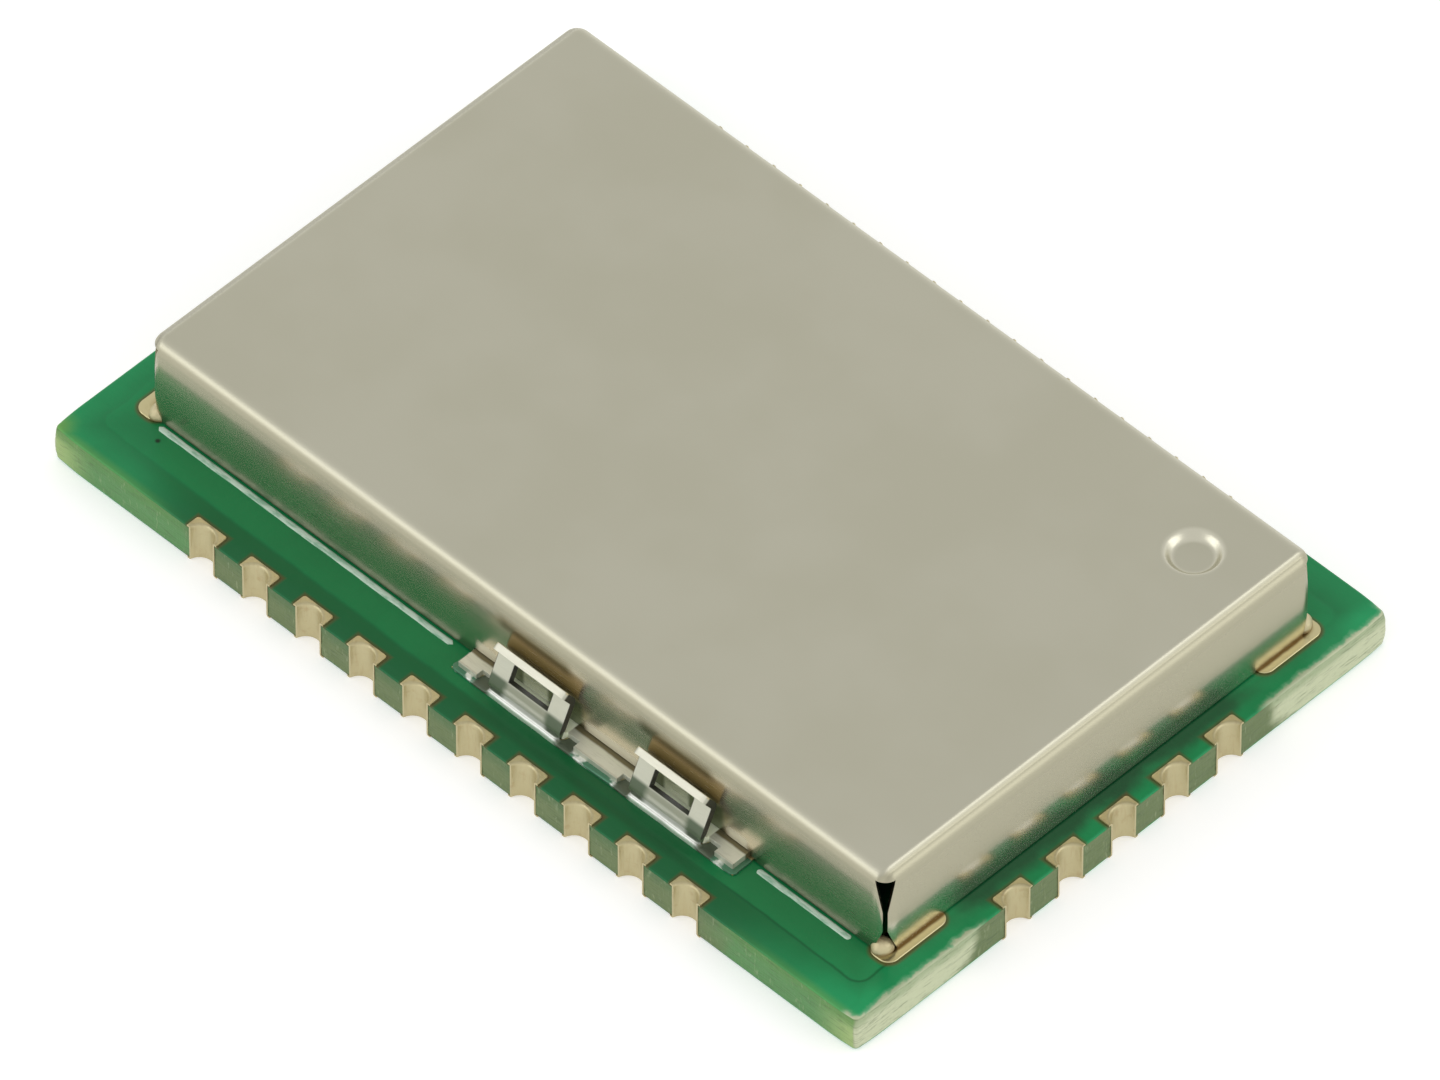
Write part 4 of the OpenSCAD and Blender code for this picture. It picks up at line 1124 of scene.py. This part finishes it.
CAN_SHEET = (0.534, 0.517, 0.410)
CAN_PALE = (0.558, 0.541, 0.437)
CAN_RIM_HIGHLIGHT = (0.670, 0.648, 0.530)
WALL_UPPER_SHADED = (0.410, 0.390, 0.285)
WALL_LOWER_LIT = (0.790, 0.690, 0.545)
END_WALL_LOWER_LIT = (0.860, 0.810, 0.680)
WALL_FOOT_SHADED = (0.460, 0.430, 0.330)
WALL_SHADE_BY_LEAF = (0.300, 0.330, 0.250)
WALL_LIT_IN_WINDOW = (0.970, 0.970, 0.950)
WALL_SHADE_OVER_BAR = (0.255, 0.228, 0.145)
WALL_PALE_OVER_TABS = (0.620, 0.580, 0.430)
can_sheet, feed, place = new_finish("can_sheet")
x, y, z = axes(place)
rolled = grain(stretched(place, 0.6, 9.0, 9.0), 4.0, 4.0, 0.6)
cloud = grain(place, 0.35, 3.0, 0.5)
colour = blend(ease(cloud, 0.35, 0.68), CAN_SHEET, CAN_PALE)
to_dimple = frame_distance(x, y, can_high - DIMPLE_INSET, (DIMPLE_R, DIMPLE_R), DIMPLE_R)
# Painted highlight: the dimple's rim is lighter than the plate.
rim = size_of(to_dimple + DIMPLE_RIM / 2)
rim = ease(rim, DIMPLE_RIM / 2 + 0.04, DIMPLE_RIM / 2 - 0.05)
colour = blend(rim, colour, CAN_RIM_HIGHLIGHT)
LONG_LEAN = 0.034
UPPER_LEANS = (0.085, 0.12)
WALL_WAVE = 0.006
KINKS_H = (1.37, 0.64)
on_end_wall = size_of(x - can_middle[0]) - can_size[0] / 2
on_end_wall = ease(on_end_wall, -0.25, -0.1)
on_long_wall = 1 - on_end_wall
above_foot = z - can_low[2]
above_kink = above_foot - KINKS_H[0] + (KINKS_H[0] - KINKS_H[1]) * on_end_wall
# Painted light: below the kink the walls take a lighter copy of the sheet's colour, lighter still
# on the end walls.
lower = blend(on_end_wall, WALL_LOWER_LIT, END_WALL_LOWER_LIT)
# Painted shade: darker at the long walls' foot, dimming the ink's reflection there.
lower = blend(ease(above_foot, 0.28, 0.12) * on_long_wall, lower, WALL_FOOT_SHADED)
# Painted shade: above the kink the walls take a darker copy of the sheet's colour than the top.
wall = blend(ease(above_kink, -0.25, 0.15), lower, WALL_UPPER_SHADED)
from_clip = x - clip_x
from_leaf = from_clip - from_clip.math("SIGN", from_clip) * (LEAF_SPACING / 2)
inwards = can_middle[1] - y
from_leaf = from_leaf * inwards.math("SIGN", inwards)
# Painted shade on the wall beside and behind each leaf, and painted light, near white, where the
# wall shows through the leaf's window.
leaf_shade = ease(size_of(from_leaf), half_leaf + 0.20, half_leaf + 0.05) * on_long_wall
leaf_shade = leaf_shade * ease(above_foot, 0.80, 0.65)
in_window = ease(from_leaf, -0.47, -0.38) * ease(from_leaf, 0.20, 0.10)
wall = blend(leaf_shade, wall, blend(in_window, WALL_SHADE_BY_LEAF, WALL_LIT_IN_WINDOW))
# Painted shade: a brown band on the wall above each leaf's flared top.
bar_shade = ease(size_of(from_leaf + 0.15), half_leaf + 0.15, half_leaf - 0.15)
bar_shade = bar_shade * ease(above_foot, 1.1, 1.3) * ease(above_foot, 1.6, 1.36) * on_long_wall
wall = blend(bar_shade, wall, WALL_SHADE_OVER_BAR)
# A paler, less metallic band at the long walls' foot over the tabs.
pale_over_tabs = ease(size_of(from_leaf), half_leaf + 0.12, half_leaf + 0.30) * on_long_wall
pale_over_tabs = pale_over_tabs * ease(size_of(from_clip), CLIP_L / 2 + 0.02, CLIP_L / 2 - 0.12)
pale_over_tabs = pale_over_tabs * ease(above_foot + 0.12 * (cloud - 0.5), 0.46, 0.28)
wall = blend(pale_over_tabs, wall, WALL_PALE_OVER_TABS)
below_top = can_high[2] - z
# Painted shade: on the end walls the darker wall colour starts higher up the bend, toning its
# highlight down.
on_wall = ease(below_top + 0.12 * on_end_wall, 0.05, 0.2) * ease(to_dimple, 0.0, 0.2)
feed("Base Color", blend(on_wall, colour, wall))
feed("Metallic", 1 - 0.85 * pale_over_tabs)
kink = above_kink * above_kink + 0.012 + 0.008 * on_end_wall
upper_lean = UPPER_LEANS[0] + (UPPER_LEANS[1] - UPPER_LEANS[0]) * on_end_wall
bowed = (above_kink + kink.math("SQRT", kink)) * upper_lean * -0.5
leaning = smaller(z, can_high[2] - BEND_R) - can_low[2]
bowed = bowed - leaning * LONG_LEAN * on_long_wall
waves = grain(stretched(place, 1.0, 1.0, 0.7), 1.1, 2.0) * WALL_WAVE
on_top = ease(below_top, BEND_R, 0.0)
skin = (rolled + grain(place, 30.0, 2.0)) * (0.00002 + 0.00048 * on_top)
satin = ease(below_top, 0.40, 0.28) * (0.67 + 0.33 * ease(to_dimple, -0.05, 0.9))
satin = 0.19 + 0.12 * satin
feed("Roughness", satin + 0.08 * rolled + 0.06 * cloud)
feed("Normal", relief(bowed + waves * ease(below_top, 0.0, BEND_R) + skin, 1.0))
can = mesh_piece("folded_can", *folded_can(), sharp=40)
can.data.materials.append(can_sheet)
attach(can, "root")
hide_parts("shield_can")

# Corner solder
# One mound of solder at the foot of each corner slit, which fixes the can to its pad. It fills
# the slit's foot and stands out a little in front of the walls.
MOUND_R = 0.215
MOUND_INSETS = np.array([0.19, 0.12])


def corner_mound(centre):
    """Half a ball that swells and shrinks a little round its upright axis, closed below."""
    turn = np.linspace(0, 2 * np.pi, 49)[:-1]
    tilt = np.linspace(0, np.pi / 2 - 0.03, 16)
    swell = 0.94 + 0.06 * np.cos(3 * turn[None] + centre.sum()) * np.cos(tilt)[:, None]
    rows = centre + (MOUND_R * np.cos(tilt)[:, None] * swell)[..., None] * circle(turn)
    z = land_top + MOUND_R * np.sin(tilt)
    return capped(at_heights(rows, z))


MOUND_PALE = (0.64, 0.56, 0.34)
MOUND_BROWN = (0.30, 0.22, 0.10)
mound_solder, feed, place = new_finish("mound_solder", Metallic=0.3)
x, y, z = axes(place)
drops = grain(place, 5.0, 3.0, 0.6)
low = ease(z + 0.08 * (drops - 0.5), land_top + 0.07, land_top + 0.01)
feed("Base Color", blend(larger(low, ease(drops, 0.58, 0.8) * 0.6), MOUND_PALE, MOUND_BROWN))
feed("Roughness", 0.36 + 0.2 * drops)
feed("Normal", relief(drops, 0.03))
can_corners = can_middle[:2] + (can_size[:2] / 2 - MOUND_INSETS) * signs
mounds = joined([corner_mound(corner) for corner in can_corners])
mounds = mesh_piece("corner_mounds", *mounds, sharp=60)
mounds.data.materials.append(mound_solder)
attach(mounds, "root")
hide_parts("corner_solder")

# Studio
# A white sweep under a light tent: two soft boxes high to the left and right of the camera, and
# an even pale surround.
floor_mesh = bpy.data.meshes.new("floor")
FLOOR_HALF = 6.0
FLOOR_DROP = 2e-6
floor_mesh.from_pydata([(sx * FLOOR_HALF, sy * FLOOR_HALF, -FLOOR_DROP)
                        for sx, sy in ((-1, -1), (1, -1), (1, 1), (-1, 1))], [], [(0, 1, 2, 3)])
floor = bpy.data.objects.new("floor", floor_mesh)
bpy.context.scene.collection.objects.link(floor)
floor_paper, feed, place = new_finish("floor_paper", Base_Color=(0.8, 0.8, 0.8, 1), Roughness=0.8,
                                      Specular_IOR_Level=0.1, Emission_Color=(1, 1, 1, 1),
                                      Emission_Strength=0.40)
floor_mesh.materials.append(floor_paper)

HORIZON = (1.0, 1.0, 0.985)
OVERHEAD = (0.78, 0.78, 0.765)
world = bpy.data.worlds.new("light_tent")
bpy.context.scene.world = world
world.use_nodes = True
sky = Wire(world.node_tree, world.node_tree.nodes.new("ShaderNodeTexCoord").outputs["Generated"])
sky = blend(ease(axes(sky)[2], 0.05, 0.6), HORIZON, OVERHEAD)
world.node_tree.links.new(sky.socket, world.node_tree.nodes["Background"].inputs["Color"])

AZIMUTH, ELEVATION = np.radians((44.54, 48.22))
forward = np.array([-np.sin(AZIMUTH) * np.cos(ELEVATION), np.cos(AZIMUTH) * np.cos(ELEVATION),
                    -np.sin(ELEVATION)])
right = np.array([np.cos(AZIMUTH), np.sin(AZIMUTH), 0])
down = np.cross(forward, right)
BOX_DISTANCE = 0.6
BOX_W, BOX_H = 0.50, 0.24
BOX_RADIANCE = 1.4
for name, towards in (("left_soft_box", (-0.467, -0.762, 0.449)),
                      ("right_soft_box", (0.761, 0.475, 0.441))):
    lamp = bpy.data.lights.new(name, "AREA")
    lamp.shape = "RECTANGLE"
    lamp.size, lamp.size_y = BOX_W, BOX_H
    lamp.energy = BOX_RADIANCE * np.pi * BOX_W * BOX_H
    box = bpy.data.objects.new(name, lamp)
    bpy.context.scene.collection.objects.link(box)
    box.location = Vector(towards) * BOX_DISTANCE
    box.rotation_euler = Vector(towards).to_track_quat("Z", "Y").to_euler()
    box.visible_camera = False

PHOTO_W = 1440
FOCAL_PIXELS = 29181.5
EYE_DISTANCE = 491.93
AIM = np.array([0, -0.05, 0.5]) + 0.0632 * right + 0.139 * down
lens = bpy.data.cameras.new("photo_lens")
lens.sensor_width = 36
lens.lens = FOCAL_PIXELS * lens.sensor_width / PHOTO_W
lens.clip_start, lens.clip_end = 0.01, 20
camera = bpy.data.objects.new("photo_camera", lens)
bpy.context.scene.collection.objects.link(camera)
camera.location = (AIM - EYE_DISTANCE * forward) * MM
camera.rotation_euler = (np.pi / 2 - ELEVATION, 0, AZIMUTH)
bpy.context.scene.camera = camera
bpy.context.scene.view_settings.view_transform = "Standard"
